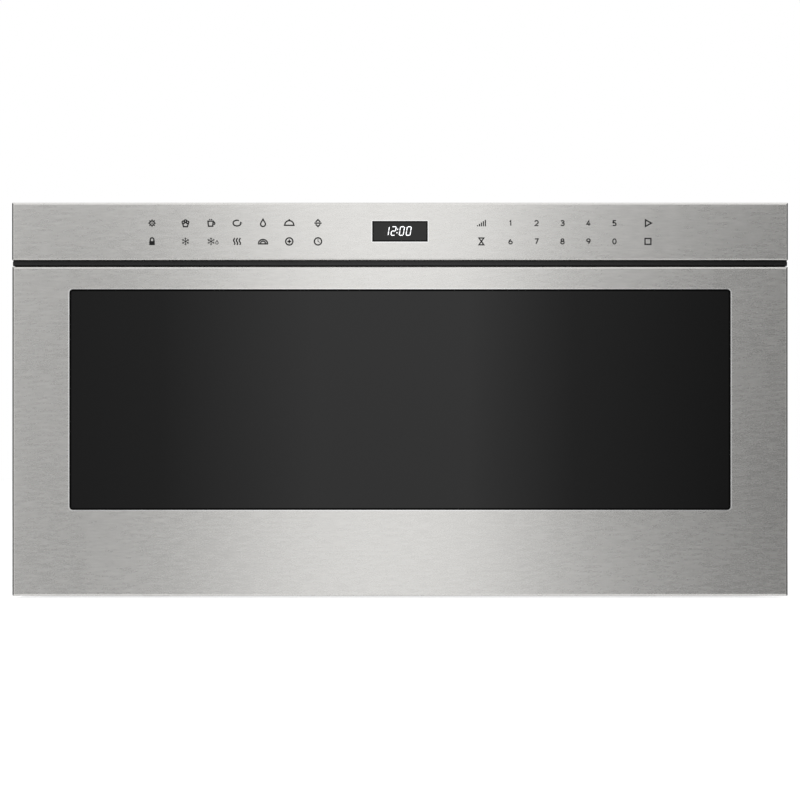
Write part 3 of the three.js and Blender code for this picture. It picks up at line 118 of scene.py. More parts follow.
class Shader(Graph):
    """A material with one principled surface."""

    def __init__(self, name):
        self.material = bpy.data.materials.new(name)
        super().__init__(self.material)
        self.coordinates = self.add("ShaderNodeTexCoord").outputs["Object"]
        self.surface = self.add("ShaderNodeBsdfPrincipled")
        self.output = self.add("ShaderNodeOutputMaterial", Surface=self.surface.outputs[0])

    def set(self, **sockets):
        """Sets sockets of the surface and gives back the material."""
        self.fill(self.surface, sockets)
        return self.material

    def stretched(self, scale):
        """Object coordinates scaled by one number or by one for each axis."""
        scale = scale if isinstance(scale, tuple) else (scale,) * 3
        return self.add("ShaderNodeMapping", Vector=self.coordinates, Scale=scale).outputs[0]

    def noise(self, scale, detail=3.0, roughness=0.5, distortion=0.0):
        """Noise of about 0 to 1 whose grain is 1/scale metres."""
        return self.add("ShaderNodeTexNoise", Vector=self.stretched(scale), Scale=1.0, Detail=detail,
                        Roughness=roughness, Distortion=distortion).outputs[0]

    def cells(self, scale, feature="F1", output="Distance"):
        node = self.add("ShaderNodeTexVoronoi", {"feature": feature}, Vector=self.stretched(scale), Scale=1.0)
        return node.outputs[output]

    def shades(self, scale):
        """A random grey for each cell."""
        return self.add("ShaderNodeRGBToBW", Color=self.cells(scale, output="Color")).outputs[0]

    def remap(self, value, low, high, to_low=0.0, to_high=1.0):
        """Value from low..high to to_low..to_high, held at the ends."""
        return self.add("ShaderNodeMapRange", Value=value, _1=low, _2=high, _3=to_low, _4=to_high).outputs[0]

    def ramp(self, value, *stops):
        """Colour for a value; stops are (position, (r, g, b))."""
        node = self.add("ShaderNodeValToRGB", Fac=value)
        for element, (position, colour) in zip(node.color_ramp.elements, stops):
            element.position = position
            element.color = (*colour, 1.0)
        return node.outputs[0]

    def mix(self, factor, a, b):
        return self.add("ShaderNodeMix", {"data_type": "RGBA"}, Factor=factor, _6=a, _7=b).outputs[2]

    def bump(self, height, strength, distance):
        return self.add("ShaderNodeBump", Height=height, Strength=strength, Distance=distance).outputs[0]

    def normal(self):
        return self.add("ShaderNodeNewGeometry").outputs["Normal"]

    def edges(self, radius=0.0006):
        """1 on worn edges, 0 on flats: how far a bevelled normal leaves the true one."""
        bevelled = self.add("ShaderNodeBevel", {"samples": 4}, Radius=radius).outputs[0]
        dot = self.add("ShaderNodeVectorMath", {"operation": "DOT_PRODUCT"}, _0=bevelled, _1=self.normal())
        return self.remap(dot.outputs["Value"], 0.99, 0.8)


def grey(value):
    """A linear grey."""
    return (value,) * 3


def scaled(colour, factor, lift=0.0):
    """A colour times a factor, held at 1."""
    return tuple(min(1.0, c * factor + lift) for c in colour)


def brushed_steel(name, colour, grain=(62.0, 62.0, 420.0), roughness=0.27, depth=0.025, anisotropic=0.7):
    """Rolled sheet with fine brush marks, which run along X on the front and top and along Y on the sides."""
    s = Shader(name)
    x, y, z = s.add("ShaderNodeSeparateXYZ", _0=s.coordinates).outputs
    sideways = s.math("ABSOLUTE", s.add("ShaderNodeSeparateXYZ", _0=s.normal()).outputs[0])
    along = s.math("ADD", x, s.math("MULTIPLY", y, sideways))
    rise = s.math("ADD", z, s.math("MULTIPLY", y, s.math("SUBTRACT", 1.0, sideways)))
    s.coordinates = s.add("ShaderNodeCombineXYZ", X=along, Z=rise).outputs[0]
    fine, broad = s.noise(tuple(3 * g for g in grain)), s.noise(grain, 2)
    marks = s.math("ADD", s.math("MULTIPLY", fine, 0.35), s.math("MULTIPLY", broad, 0.65))
    gloss = s.remap(marks, 0.35, 0.65, roughness - 0.015, roughness + 0.025)
    return s.set(
        Base_Color=s.ramp(marks, (0.38, scaled(colour, 0.955)), (0.62, scaled(colour, 1.035))),
        Metallic=1.0,
        Roughness=s.math("ADD", gloss, s.remap(s.noise(7, 3, 0.55, 0.6), 0.3, 0.7, -0.012, 0.018)),
        Anisotropic=anisotropic,
        Anisotropic_Rotation=0.25,
        Normal=s.bump(marks, depth, 0.00006),
        Tangent=s.add("ShaderNodeTangent", {"direction_type": "RADIAL", "axis": "Z"}).outputs[0],
    )


def coated_steel(name, colour, spangle, roughness, metallic, texture, grain=900):
    """Zinc coated or painted sheet: faint spangle or orange peel, dust in patches and paler worn edges."""
    s = Shader(name)
    shade, patch = s.shades(150), s.noise(9, 4, 0.6, 0.4)
    base = s.mix(s.remap(patch, 0.15, 0.85, 0.0, 0.5), colour, scaled(colour, 0.86))
    if spangle:
        base = s.mix(s.remap(shade, 0.2, 0.8, 0.0, spangle), base, scaled(colour, 1.35))
    gloss = s.remap(shade, 0.2, 0.8, roughness - spangle / 8, roughness + spangle / 8)
    return s.set(
        Base_Color=s.mix(s.math("MULTIPLY", s.edges(), 0.5), base, scaled(colour, 1.45)),
        Metallic=metallic,
        Roughness=s.math("ADD", gloss, s.remap(patch, 0.15, 0.85, -0.05, 0.08)),
        Normal=s.bump(s.noise(grain, 2), texture, 0.00005),
    )


def moulded(name, colour, roughness=0.5, grain=1400, texture=0.25, worn=0.35, flecks=0.0, specular=0.5):
    """Moulded plastic with a spark-eroded grain, faint flow marks and slightly polished edges."""
    s = Shader(name)
    pits, flow = s.noise(grain, 3, 0.6), s.noise((5, 9, 14), 4, 0.6, 1.0)
    base = s.mix(s.remap(flow, 0.3, 0.7, 0.0, 0.35), colour, scaled(colour, 0.8))
    if flecks:
        base = s.mix(s.remap(s.cells(420), 0.05, 0.16, flecks, 0.0), base, scaled(colour, 1.6, 0.05))
    gloss = s.remap(pits, 0.3, 0.7, roughness - 0.05, roughness + 0.08)
    return s.set(
        Base_Color=s.mix(s.math("MULTIPLY", s.edges(0.0005), worn), base, scaled(colour, 1.3, 0.02)),
        Roughness=s.math("ADD", gloss, s.remap(flow, 0.3, 0.7, -0.03, 0.03)),
        Normal=s.bump(pits, texture, 0.00006),
        Specular_IOR_Level=specular,
    )


def tinted_glass(name, colour, roughness, smear, ior=1.5):
    """Opaque tinted glass: deep colour, sharp reflections, and wiping marks that only show in the gloss."""
    s = Shader(name)
    dust = s.remap(s.noise(2600, 2, 0.6), 0.7, 0.84)
    gloss = s.remap(s.noise((4, 4, 12), 5, 0.65, 1.4), 0.35, 0.7, roughness, roughness + smear)
    return s.set(
        Base_Color=s.mix(s.math("MULTIPLY", dust, 0.03), colour, grey(0.25)),
        Roughness=s.math("ADD", gloss, s.math("MULTIPLY", dust, 0.1)),
        IOR=ior,
        Normal=s.bump(s.noise(18, 2), 0.01, 0.0002),
    )


def printed_circuit(name, colour):
    """Solder-masked board: copper tracks under the mask as slightly paler runs, with a glossy even coat."""
    s = Shader(name)
    run = s.remap(s.cells(150, "DISTANCE_TO_EDGE"), 0.04, 0.07, 1.0, 0.0)
    copper = s.math("MULTIPLY", run, s.remap(s.noise(60, 1, 0.4), 0.48, 0.52))
    return s.set(
        Base_Color=s.mix(s.math("MULTIPLY", copper, 0.6), colour, scaled(colour, 1.5, 0.02)),
        Roughness=s.remap(s.noise(300, 2), 0.3, 0.7, 0.28, 0.4),
        Normal=s.bump(copper, 0.5, 0.00004),
    )


def wound_copper(name, colour, varnish_colour, turns=1760.0):
    """Varnished winding: fine parallel turns round the core, with painted shade in the grooves between them."""
    s = Shader(name)
    wave = s.add("ShaderNodeTexWave", {"bands_direction": "Z"}, Vector=s.coordinates,
                 Scale=turns / (2 * math.pi), Distortion=0.6, Detail=1.0).outputs["Fac"]
    varnish = s.noise(70, 3, 0.6, 0.6)
    # The grooves between turns darken to a third of the copper: painted shade.
    copper = s.mix(wave, scaled(colour, 0.35), colour)
    return s.set(
        Base_Color=s.mix(s.remap(varnish, 0.3, 0.75, 0.0, 0.4), copper, varnish_colour),
        Metallic=0.55,
        Roughness=s.remap(varnish, 0.3, 0.7, 0.26, 0.4),
        Normal=s.bump(wave, 0.6, 0.0002),
    )


def laminations(name, colour, rust, pitch=0.0007):
    """Stacked core plates: thin dark seams across Y, with rust bloom and varnish."""
    s = Shader(name)
    y = s.add("ShaderNodeSeparateXYZ", _0=s.coordinates).outputs["Y"]
    line = s.remap(s.math("PINGPONG", y, pitch / 2), 0.0, pitch * 0.18)
    bloom = s.remap(s.noise(60, 4, 0.65, 0.5), 0.55, 0.75)
    return s.set(
        Base_Color=s.mix(s.math("MULTIPLY", bloom, 0.35), s.mix(line, scaled(colour, 0.3), colour), rust),
        Metallic=0.8,
        Roughness=s.remap(bloom, 0.0, 1.0, 0.38, 0.6),
        Normal=s.bump(line, 0.6, 0.00008),
    )


def pressed_mica(name, colour, speck):
    """Mica sheet: overlapping pale flakes with a pearly gloss and brown specks."""
    s = Shader(name)
    flakes = s.shades(170)
    specks = s.remap(s.noise(700, 2, 0.7), 0.66, 0.72)
    base = s.mix(s.remap(flakes, 0.2, 0.8, 0.0, 0.55), colour, scaled(colour, 0.74))
    return s.set(
        Base_Color=s.mix(s.math("MULTIPLY", specks, 0.6), base, speck),
        Roughness=s.remap(flakes, 0.2, 0.8, 0.22, 0.42),
        Normal=s.bump(flakes, 0.3, 0.00008),
    )


HOLE_PITCH = 0.0021  # metres


def perforated(name, metal, hole, roughness=0.45, metallic=0.3):
    """Sheet with a fine regular pattern of round holes, either bare or seen through a pane in front of it."""
    s = Shader(name)
    rows = s.stretched((1 / HOLE_PITCH, 0.0, 1 / HOLE_PITCH))
    holes = s.add("ShaderNodeTexVoronoi", Vector=rows, Scale=1.0, Randomness=0.0)
    open_area = s.remap(holes.outputs["Distance"], 0.3, 0.36, 1.0, 0.0)
    wear = s.noise(35, 3, 0.6, 0.5)
    return s.set(
        Base_Color=s.mix(open_area, s.mix(s.remap(wear, 0.3, 0.7), metal, scaled(metal, 0.7)), hole),
        Metallic=metallic,
        Roughness=s.remap(wear, 0.3, 0.7, roughness, roughness + 0.04),
    )


def glowing(name, colour, strength):
    """Lit display segments: the light is a little stronger in the middle of each diode."""
    s = Shader(name)
    dots = s.remap(s.cells(700), 0.1, 0.6, 1.0, 0.82)
    return s.set(
        Base_Color=colour,
        Emission_Color=s.mix(dots, scaled(colour, 0.8), colour),
        Emission_Strength=strength,
        Roughness=0.4,
    )


STAINLESS = brushed_steel("brushed_stainless", (0.8, 0.79, 0.768))
# Near-white copy of the stainless for the bevels round holes: a polished edge, and partly a painted highlight.
POLISHED_EDGE_HIGHLIGHT = brushed_steel("polished_cut_edge_and_painted_highlight", (0.98, 0.975, 0.965), (60, 60, 60), 0.2, 0.05, 0.0)
# Near-black copy of the stainless for the left and right folds: a painted dark reflection.
FOLD_DARK_REFLECTION = brushed_steel("painted_dark_fold_reflection", (0.055, 0.054, 0.053), roughness=0.34, anisotropic=0.4)
MILL = brushed_steel("mill_finish", (0.6, 0.595, 0.585), (20.0, 20.0, 90.0), 0.32, 0.01, 0.2)
BLACK = moulded("black_moulding", grey(0.014), 0.5)
VENT_BLACK = moulded("vent_moulding", grey(0.007), 0.24, 1800, 0.1)
# Near-black matte: the seal brush behind the vent strip, and the painted shadow line round the window and the
# display.
SEAL_AND_SHADE_BLACK = moulded("dark_seal_and_painted_shade", grey(0.002), 0.8, 1500, 0.2, 0.0, specular=0.06)
FRAME_GREY = coated_steel("grey_coated_frame", (0.3, 0.305, 0.305), 0.0, 0.42, 0.15, 0.25, 700)
ZINC = coated_steel("galvanised_sheet", (0.44, 0.45, 0.46), 0.34, 0.36, 0.3, 0.1)
ENAMEL = coated_steel("cavity_enamel", (0.42, 0.425, 0.42), 0.0, 0.3, 0.0, 0.12, 500)
TUB = moulded("tub_moulding", (0.42, 0.425, 0.425), 0.34, 900, 0.12, 0.2, 0.25)
CERAMIC = tinted_glass("ceramic_floor", (0.035, 0.037, 0.04), 0.06, 0.05)
WINDOW = tinted_glass("tinted_window", grey(0.0005), 0.02, 0.02, 1.475)
DISPLAY = tinted_glass("display_lens", grey(0.0005), 0.02, 0.02, 1.475)
INNER_GLASS = perforated("inner_window", grey(0.035), grey(0.006), roughness=0.05, metallic=0.0)
SCREEN = perforated("screen_paint", grey(0.09), grey(0.002))
SLIDE = coated_steel("slide_zinc_plate", (0.5, 0.507, 0.515), 0.0, 0.32, 1.0, 0.1)
BEARING = coated_steel("bearing_steel", (0.82, 0.83, 0.83), 0.0, 0.14, 1.0, 0.02)
DARK_STEEL = coated_steel("oiled_steel", (0.17, 0.172, 0.178), 0.0, 0.36, 0.9, 0.12)
NYLON = moulded("natural_nylon", (0.76, 0.74, 0.66), 0.42, 1200, 0.12, 0.15)
ALUMINIUM = coated_steel("plain_aluminium", (0.74, 0.75, 0.76), 0.0, 0.3, 1.0, 0.06)
WIRE = moulded("wire_sleeve", (0.36, 0.03, 0.02), 0.42, 1500, 0.1, 0.1)
WINDING = wound_copper("varnished_winding", (0.62, 0.24, 0.09), (0.16, 0.07, 0.03))
CORE = laminations("core_laminations", (0.22, 0.2, 0.19), (0.21, 0.1, 0.05))
MICA = pressed_mica("pressed_mica", (0.66, 0.6, 0.46), (0.18, 0.11, 0.05))
BOARD = printed_circuit("green_board", (0.018, 0.105, 0.045))
SILICONE = moulded("silicone_seal", grey(0.16), 0.6, 900, 0.1, 0.0)
PRINT = moulded("black_print", grey(0.004), 0.8, 2600, 0.05, 0.0)
LIT = glowing("lit_segments", (0.94, 0.96, 0.98), 0.82)
UNLIT = moulded("unlit_segments", grey(0.012), 0.3, 1500, 0.05, 0.0)

NODE_FINISH = {  # by the slot that a CAD node comes with
    "stainless_steel": STAINLESS, "window_glass": WINDOW, "display_lens": DISPLAY, "black_moulding": BLACK,
    "frame_steel": FRAME_GREY, "galvanised_steel": ZINC, "cavity_enamel": ENAMEL, "tub_plastic": TUB,
    "floor_ceramic": CERAMIC, "inner_window": INNER_GLASS, "screen_steel": SCREEN, "slide_steel": SLIDE,
    "bearing_steel": BEARING, "dark_steel": DARK_STEEL, "nylon": NYLON, "aluminium": ALUMINIUM,
    "winding": CORE, "mica": MICA, "circuit_board": BOARD,
}
OTHER_FINISHES = {  # finishes of the pieces made here that no CAD node has, under their slots
    "stainless_steel": (POLISHED_EDGE_HIGHLIGHT,), "black_moulding": (VENT_BLACK, SEAL_AND_SHADE_BLACK, PRINT, WIRE),
    "tub_plastic": (SILICONE,), "display_lens": (LIT, UNLIT), "winding": (WINDING,),
}
PIECE_SLOT = {finish.name: slot for slot, finish in NODE_FINISH.items()}
PIECE_SLOT.update({finish.name: slot for slot, finishes in OTHER_FINISHES.items() for finish in finishes})


# ---------------------------------------------------------------- carried-over CAD nodes


SMOOTH_ANGLE = 32  # degrees; sharper edges stay sharp
FINE_ROUNDING = 0.25
ROUNDING = {"window_glass": 0.4, "drawer_tub": 1.0}  # nodes with softer edges


def smoothing():
    """A geometry node group: welds the facets, then shades smooth everywhere but across sharp edges."""
    group = bpy.data.node_groups.new("smooth_by_angle", "GeometryNodeTree")
    for way in ("INPUT", "OUTPUT"):
        group.interface.new_socket("Geometry", in_out=way, socket_type="NodeSocketGeometry")
    shade = "GeometryNodeSetShadeSmooth"
    kinds = ("NodeGroupInput", "GeometryNodeRemoveAttribute", "GeometryNodeMergeByDistance", shade, shade,
             "NodeGroupOutput")
    chain = [group.nodes.new(kind) for kind in kinds]
    for before, after in zip(chain, chain[1:]):
        group.links.new(before.outputs[0], after.inputs[0])
    plain, weld, edges = chain[1], chain[2], chain[4]
    plain.inputs["Name"].default_value = "custom_normal"
    weld.inputs["Distance"].default_value = 0.00001
    edges.domain = "EDGE"
    edges.inputs["Shade Smooth"].default_value = False
    turn, sharp = group.nodes.new("GeometryNodeInputMeshEdgeAngle"), group.nodes.new("FunctionNodeCompare")
    sharp.data_type = "FLOAT"
    sharp.inputs[1].default_value = math.radians(SMOOTH_ANGLE)
    group.links.new(turn.outputs["Unsigned Angle"], sharp.inputs[0])
    group.links.new(sharp.outputs[0], edges.inputs["Selection"])
    return group


def level_flats(thing):
    thing.modifiers.new("level_flats", "WEIGHTED_NORMAL").keep_sharp = True


def soften(thing, width, segments, angle=SMOOTH_ANGLE):
    """Rounds a piece's sharp edges by width mm and keeps its flats flat."""
    bevel = thing.modifiers.new("rounded_edges", "BEVEL")
    bevel.width = width * MM
    bevel.segments = segments
    bevel.limit_method = "ANGLE"
    bevel.angle_limit = math.radians(angle)
    bevel.use_clamp_overlap = True
    level_flats(thing)


def dress_nodes():
    """Gives the CAD nodes their finishes and fine rounded edges. Their meshes aren't changed."""
    smooth = smoothing()
    for name, node in NODES.items():
        finish = NODE_FINISH[node.material_slots[0].material.name.split(".")[0]]
        for holder in node.material_slots:
            holder.material = finish
        node.modifiers.new("smooth", "NODES").node_group = smooth
        flat = node.modifiers.new("flat_faces", "DECIMATE")
        flat.decimate_type = "DISSOLVE"
        flat.angle_limit = math.radians(1)
        soften(node, ROUNDING.get(name, FINE_ROUNDING), 3 if name in ROUNDING else 1)


# ---------------------------------------------------------------- mesh building


class Form:
    """Faces gathered in mm, as (x, depth behind the front plane, z), and made into one object at the end."""

    def __init__(self):
        self.points = []
        self.faces = []
        self.finishes = []

    def loft(self, loops, closed=False):
        """Joins closed loops of equal length in order; the last joins the first, or both are capped."""
        start, count, size = len(self.points), len(loops), len(loops[0])
        faces = [
            (row * size + n, row * size + (n + 1) % size,
             (row + 1) % count * size + (n + 1) % size, (row + 1) % count * size + n)
            for row in range(count if closed else count - 1)
            for n in range(size)
        ]
        if not closed:
            faces += [tuple(reversed(range(size))), tuple((count - 1) * size + n for n in range(size))]
        self.points += [place(*p) for loop in loops for p in loop]
        self.faces += [tuple(start + n for n in face) for face in faces]
        self.finishes += [0] * len(faces)

    def block(self, low, high):
        (x0, d0, z0), (x1, d1, z1) = low, high
        self.loft([[(x0, d0, z), (x1, d0, z), (x1, d1, z), (x0, d1, z)] for z in (z0, z1)])

    def run(self, section, ends):
        """A bar along X with a section of (depth, height) points."""
        self.loft([[(x, d, z) for d, z in section] for x in ends])

    def border(self, outline, radius, section, closed=True):
        """Rounded rectangles that face the front; section pairs up how far each is grown and its depth."""
        self.loft([window(*outline, radius, grow, depth) for grow, depth in section], closed)

    def turned(self, origin, axis, rings, count):
        """A loft round an axis. Rings are (height, radius), and a radius may be a function of the angle."""
        axis = Vector(axis).normalized()
        side = Vector((1, 0, 0)) if abs(axis.x) < 0.9 else Vector((0, 0, 1))
        across = axis.cross(side).normalized()
        other = axis.cross(across)
        loops = []
        for height, radius in rings:
            middle = Vector(origin) + axis * height
            loop = []
            for turn in turns_of(count):
                reach = radius(turn) if callable(radius) else radius
                loop.append(middle + (across * math.cos(turn) + other * math.sin(turn)) * reach)
            loops.append(loop)
        self.loft(loops)

    def tube(self, path, radius, sides):
        """A round tube through points."""
        path = [Vector(p) for p in path]
        loops = []
        normal = None
        for n, point in enumerate(path):
            along = (path[min(n + 1, len(path) - 1)] - path[max(n - 1, 0)]).normalized()
            if normal is None:
                normal = along.orthogonal().normalized()
            normal = (normal - along * normal.dot(along)).normalized()
            side = along.cross(normal)
            rims = [normal * math.cos(t) + side * math.sin(t) for t in turns_of(sides)]
            loops.append([point + rim * radius for rim in rims])
        self.loft(loops)

    def piece(self, name, finish, body="cabinet", rounding=0.0, segments=2, angle=SMOOTH_ANGLE, slot=None,
              replaces=()):
        """Makes the object, shades it smooth up to angle degrees, and lets it ride on a body."""
        finishes = finish if isinstance(finish, list) else [finish]
        mesh = bpy.data.meshes.new(name)
        mesh.from_pydata(self.points, [], self.faces)
        for material in finishes:
            mesh.materials.append(material)
        mesh.polygons.foreach_set("material_index", self.finishes)
        work = bmesh.new()
        work.from_mesh(mesh)
        bmesh.ops.remove_doubles(work, verts=work.verts, dist=0.000002)
        bmesh.ops.recalc_face_normals(work, faces=work.faces)
        work.to_mesh(mesh)
        work.free()
        mesh.shade_smooth()
        mesh.set_sharp_from_angle(angle=math.radians(angle))
        thing = new_object(name, mesh)
        if rounding:
            soften(thing, rounding, segments, angle)
        slot = slot or PIECE_SLOT[finishes[0].name]
        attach(thing, body)
        if replaces:
            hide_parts(*replaces)
        return thing


def rounded(low, high, radius, grow=0.0, steps=4):
    """A rectangle with round corners, grown all round by grow, as (across, up) points."""
    radius = max(0.05, radius + grow)
    inset = radius - grow
    left, right, bottom, top = low[0] + inset, high[0] - inset, low[1] + inset, high[1] - inset
    points = []
    for cx, cz, start in ((right, top, 0), (left, top, 90), (left, bottom, 180), (right, bottom, 270)):
        turns = [math.radians(start + 90 * n / steps) for n in range(steps + 1)]
        points += [(cx + radius * math.cos(t), cz + radius * math.sin(t)) for t in turns]
    return points


def window(low, high, radius, grow, depth):
    """A rounded rectangle facing the front, as a loop at a depth."""
    return [(x, depth, z) for x, z in rounded(low, high, radius, grow)]


def plan(low, high, radius, grow, height, steps):
    """A rounded rectangle lying flat, as a loop at a height."""
    return [(x, d, height) for x, d in rounded(low, high, radius, grow, steps)]


# ---------------------------------------------------------------- front


FOLD = 2.1  # outer radius of the folded skin edges
FOLD_STEPS = 6
SHEET = 0.8
SKIN_CORNER = 0.8  # the folded sheet meets almost squarely at its corners
LIP = 9.0  # how far the skin turns in at the back
CUT = 0.3  # rounding of a cut hole's edge
TRIM_PROUD = 0.17  # how far a trim stands before the skin


def opening(node, grow):
    """The hole in a front sheet, from the pane behind it: ((left, bottom), (right, top))."""
    low, high = corners(node)
    return (low[0] - grow, low[2] - grow), (high[0] + grow, high[2] + grow)


def skin(name, node, hole, hole_radius, body, wide, rise):
    """A folded stainless skin: flat face with a hole, rounded edges, sides and a lip turned in behind.

    Its fold stands outside the solid by wide at the sides, and by rise at the bottom and the top.
    """
    low, high = corners(node)
    left, right, back = low[0] - wide, high[0] + wide, high[1]
    outline = (left, low[2] - rise[0]), (right, high[2] + rise[1])
    edge = ((0, SHEET), (0, CUT), (CUT * 0.3, CUT * 0.3), (CUT, 0))
    bends = [math.radians(90 * n / (FOLD_STEPS - 1)) for n in range(FOLD_STEPS)]
    folded = [(FOLD * (math.sin(turn) - 1), FOLD * (1 - math.cos(turn))) for turn in bends]
    folded += [(0, back - 0.6), (-0.6, back), (-LIP, back), (-LIP, back - SHEET)]
    folded += [(-SHEET, back - SHEET), (-SHEET, SHEET)]
    loops = [window(*hole, hole_radius, grow, depth) for grow, depth in edge]
    loops += [window(*outline, SKIN_CORNER, grow, depth) for grow, depth in folded]
    form = Form()
    form.loft(loops, closed=True)
    walls = (len(edge) + FOLD_STEPS - 1) * len(loops[0])  # side walls and lip start at this face
    # Faces of the left and right folds take finish 1, the painted dark reflection.
    limit = (right - 0.7 * FOLD) * MM
    for number, face in enumerate(form.faces):
        if number >= walls:
            form.finishes[number] = 2
        spots = [form.points[n] for n in face]
        outer = min(p.x for p in spots) > limit or max(p.x for p in spots) < -limit
        if outer and max(p.y for p in spots) < FRONT + 1.01 * FOLD * MM:
            form.finishes[number] = 1
    level_flats(form.piece(name, [STAINLESS, FOLD_DARK_REFLECTION, MILL], body, replaces=(node,)))


def trim_ring(name, hole, radius, body, inside, outside, slope):
    """The bright burnished bevel round a hole in the skin, which slopes inwards by some degrees; part of its
    brightness is a painted highlight in its base colour.
    """
    sunk = (inside + outside) * math.tan(math.radians(slope)) - TRIM_PROUD
    form = Form()
    form.border(hole, radius, (
        (-inside, 1.1), (-inside, sunk + 0.08), (0.06 - inside, sunk), (outside - 0.08, -TRIM_PROUD),
        (outside, 0.04 - TRIM_PROUD), (outside + 0.02, 0.2), (outside, 1.1),
    ))
    form.piece(name, POLISHED_EDGE_HIGHLIGHT, body, angle=25)


def painted_shadow_ring(name, hole, radius, body, width, front, back):
    """A near-black ring that paints the shade in the gap between the steel edge and the glass as a dark line."""
    form = Form()
    form.border(hole, radius, (
        (0.3, front + 0.3), (-0.4, front), (-width + 0.2, front), (-width, front + 0.15),
        (-width, back), (0.3, back),
    ))
    form.piece(name, SEAL_AND_SHADE_BLACK, body, angle=60)


WINDOW_HOLE = opening("window_glass", -8.0)  # the glass is held behind the sheet all round
WINDOW_CORNER = 3.6
DISPLAY_HOLE = opening("display_lens", 0.3)
DISPLAY_CORNER = 0.5

PRINT_THICK = 0.05
PEN = 0.8  # line width of the small key marks


def arc(cx, cz, rx, rz, start, end, steps=14):
    """Points along an ellipse from start to end degrees, 0 pointing right and 90 up."""
    turns = [math.radians(start + (end - start) * n / steps) for n in range(steps + 1)]
    return [(cx + rx * math.cos(t), cz + rz * math.sin(t)) for t in turns]


def oval(cx, cz, rx, rz, steps):
    """Points round an ellipse, for a closed stroke."""
    return arc(cx, cz, rx, rz, 0, 345, steps)


class Print(Form):
    """Flat marks on the front, drawn in mm from a centre that moves from key to key."""

    def __init__(self, front=0.0, size=1.0):
        super().__init__()
        self.front = front
        self.size = size
        self.centre = (0.0, 0.0)

    def outline(self, points, d):
        """Points of a mark, as a loop at a distance behind its face."""
        cx, cz = self.centre
        return [(cx + self.size * x, self.front + d, cz + self.size * z) for x, z in points]

    def slab(self, points):
        """A filled outline."""
        self.loft([self.outline(points, d) for d in (-PRINT_THICK, PRINT_THICK)])

    def stroke(self, points, width=PEN, closed=False):
        """A line of constant width with mitred corners."""
        points = [Vector(p) for p in points]
        count = len(points)
        sides = [], []
        for n, point in enumerate(points):
            before = points[(n - 1) % count] if closed or n else None
            after = points[(n + 1) % count] if closed or n < count - 1 else None
            first = (point - before).normalized() if before is not None else None
            last = (after - point).normalized() if after is not None else None
            first, last = first or last, last or first
            mean = (first + last).normalized()
            reach = width / 2 / max(0.5, mean.dot(first))
            side = Vector((-mean.y, mean.x)) * reach
            sides[0].append(point + side)
            sides[1].append(point - side)
        left, right = sides
        if not closed:
            self.slab(left + right[::-1])
            return
        near, far = -PRINT_THICK, PRINT_THICK
        edges = ((left, near), (right, near), (right, far), (left, far))
        self.loft([self.outline(points, d) for points, d in edges], closed=True)

    def outlined(self, points, width=PEN):
        self.stroke(points, width, closed=True)

    def ring(self, cx, cz, radius):
        self.stroke(oval(cx, cz, radius, radius, 23), closed=True)

    def disc(self, cx, cz, radius):
        self.slab(arc(cx, cz, radius, radius, 0, 330, 11))


DIGIT_HIGH = 6.0
DIGIT_PEN = 1.12


def draw_digit(ink, digit):
    """One upright numeral of the key pad, in plain arcs and lines."""
    w, h = 1.62, DIGIT_HIGH / 2 - DIGIT_PEN / 2
    low, high = h * 0.56, h * 0.48  # radii of the lower and upper bowls
    tail = w + 1.4, 2 * h - low + 0.1  # radii of the tails of 6 and 9
    rounds = {
        0: [oval(0, 0, w, h, 23)],
        6: [oval(0, low - h, w, low, 21)],
        8: [oval(0, low - h, w, low, 21), oval(0, h - high, w * 0.82, high, 21)],
        9: [oval(0, h - low, w, low, 21)],
    }
    lines = {
        1: [(-0.8, h * 0.55), (0.25, h), (0.25, -h)],
        2: arc(0, h - w, w, w, 165, -35) + [(-w, -h), (w + 0.2, -h)],
        3: arc(0, h - high, w * 0.9, high, 160, -90, 10) + arc(0, low - h, w, low, 90, -160, 12),
        4: [(w + 0.35, -h * 0.42), (-w - 0.1, -h * 0.42), (0.5, h), (0.5, -h)],
        5: [(w * 0.95, h), (-w * 0.7, h), (-w * 0.85, 0.35)] + arc(-0.1, -h + 1.42, w, 1.42, 125, -150, 14),
        6: arc(1.5, low - h - 0.2, *tail, 172, 115, 8),
        7: [(-w, h), (w, h), (-0.45, -h)],
        9: arc(-1.5, h - low + 0.2, *tail, -8, -65, 8),
    }
    for line in rounds.get(digit, ()):
        ink.stroke(line, DIGIT_PEN, closed=True)
    if digit in lines:
        ink.stroke(lines[digit], DIGIT_PEN)


def rays(count, first, last):
    """Short lines round a centre, between two radii."""
    return [[(r * math.cos(t), r * math.sin(t)) for r in (first, last)] for t in turns_of(count)]


def forked_arms():
    """Six arms, each with a fork near its end."""
    lines = []
    for n in range(3):
        turn = math.radians(30 + 60 * n)
        along = Vector((math.cos(turn), math.sin(turn)))
        lines.append(("line", [along * -2.4, along * 2.4], 0.42))
        for end in SIDES:
            for fork in (-50, 50):
                aim = Matrix.Rotation(math.radians(fork), 2) @ along
                lines.append(("line", [along * end * 1.3, along * end * 1.3 + aim * end * 0.85], 0.36))
    return lines


def wave(x):
    return [(x + 0.42 * math.sin(n * math.pi / 3), -2.1 + 0.6 * n) for n in range(8)]


def bar(left, top):
    return [(left, -2), (left + 0.7, -2), (left + 0.7, top), (left, top)]


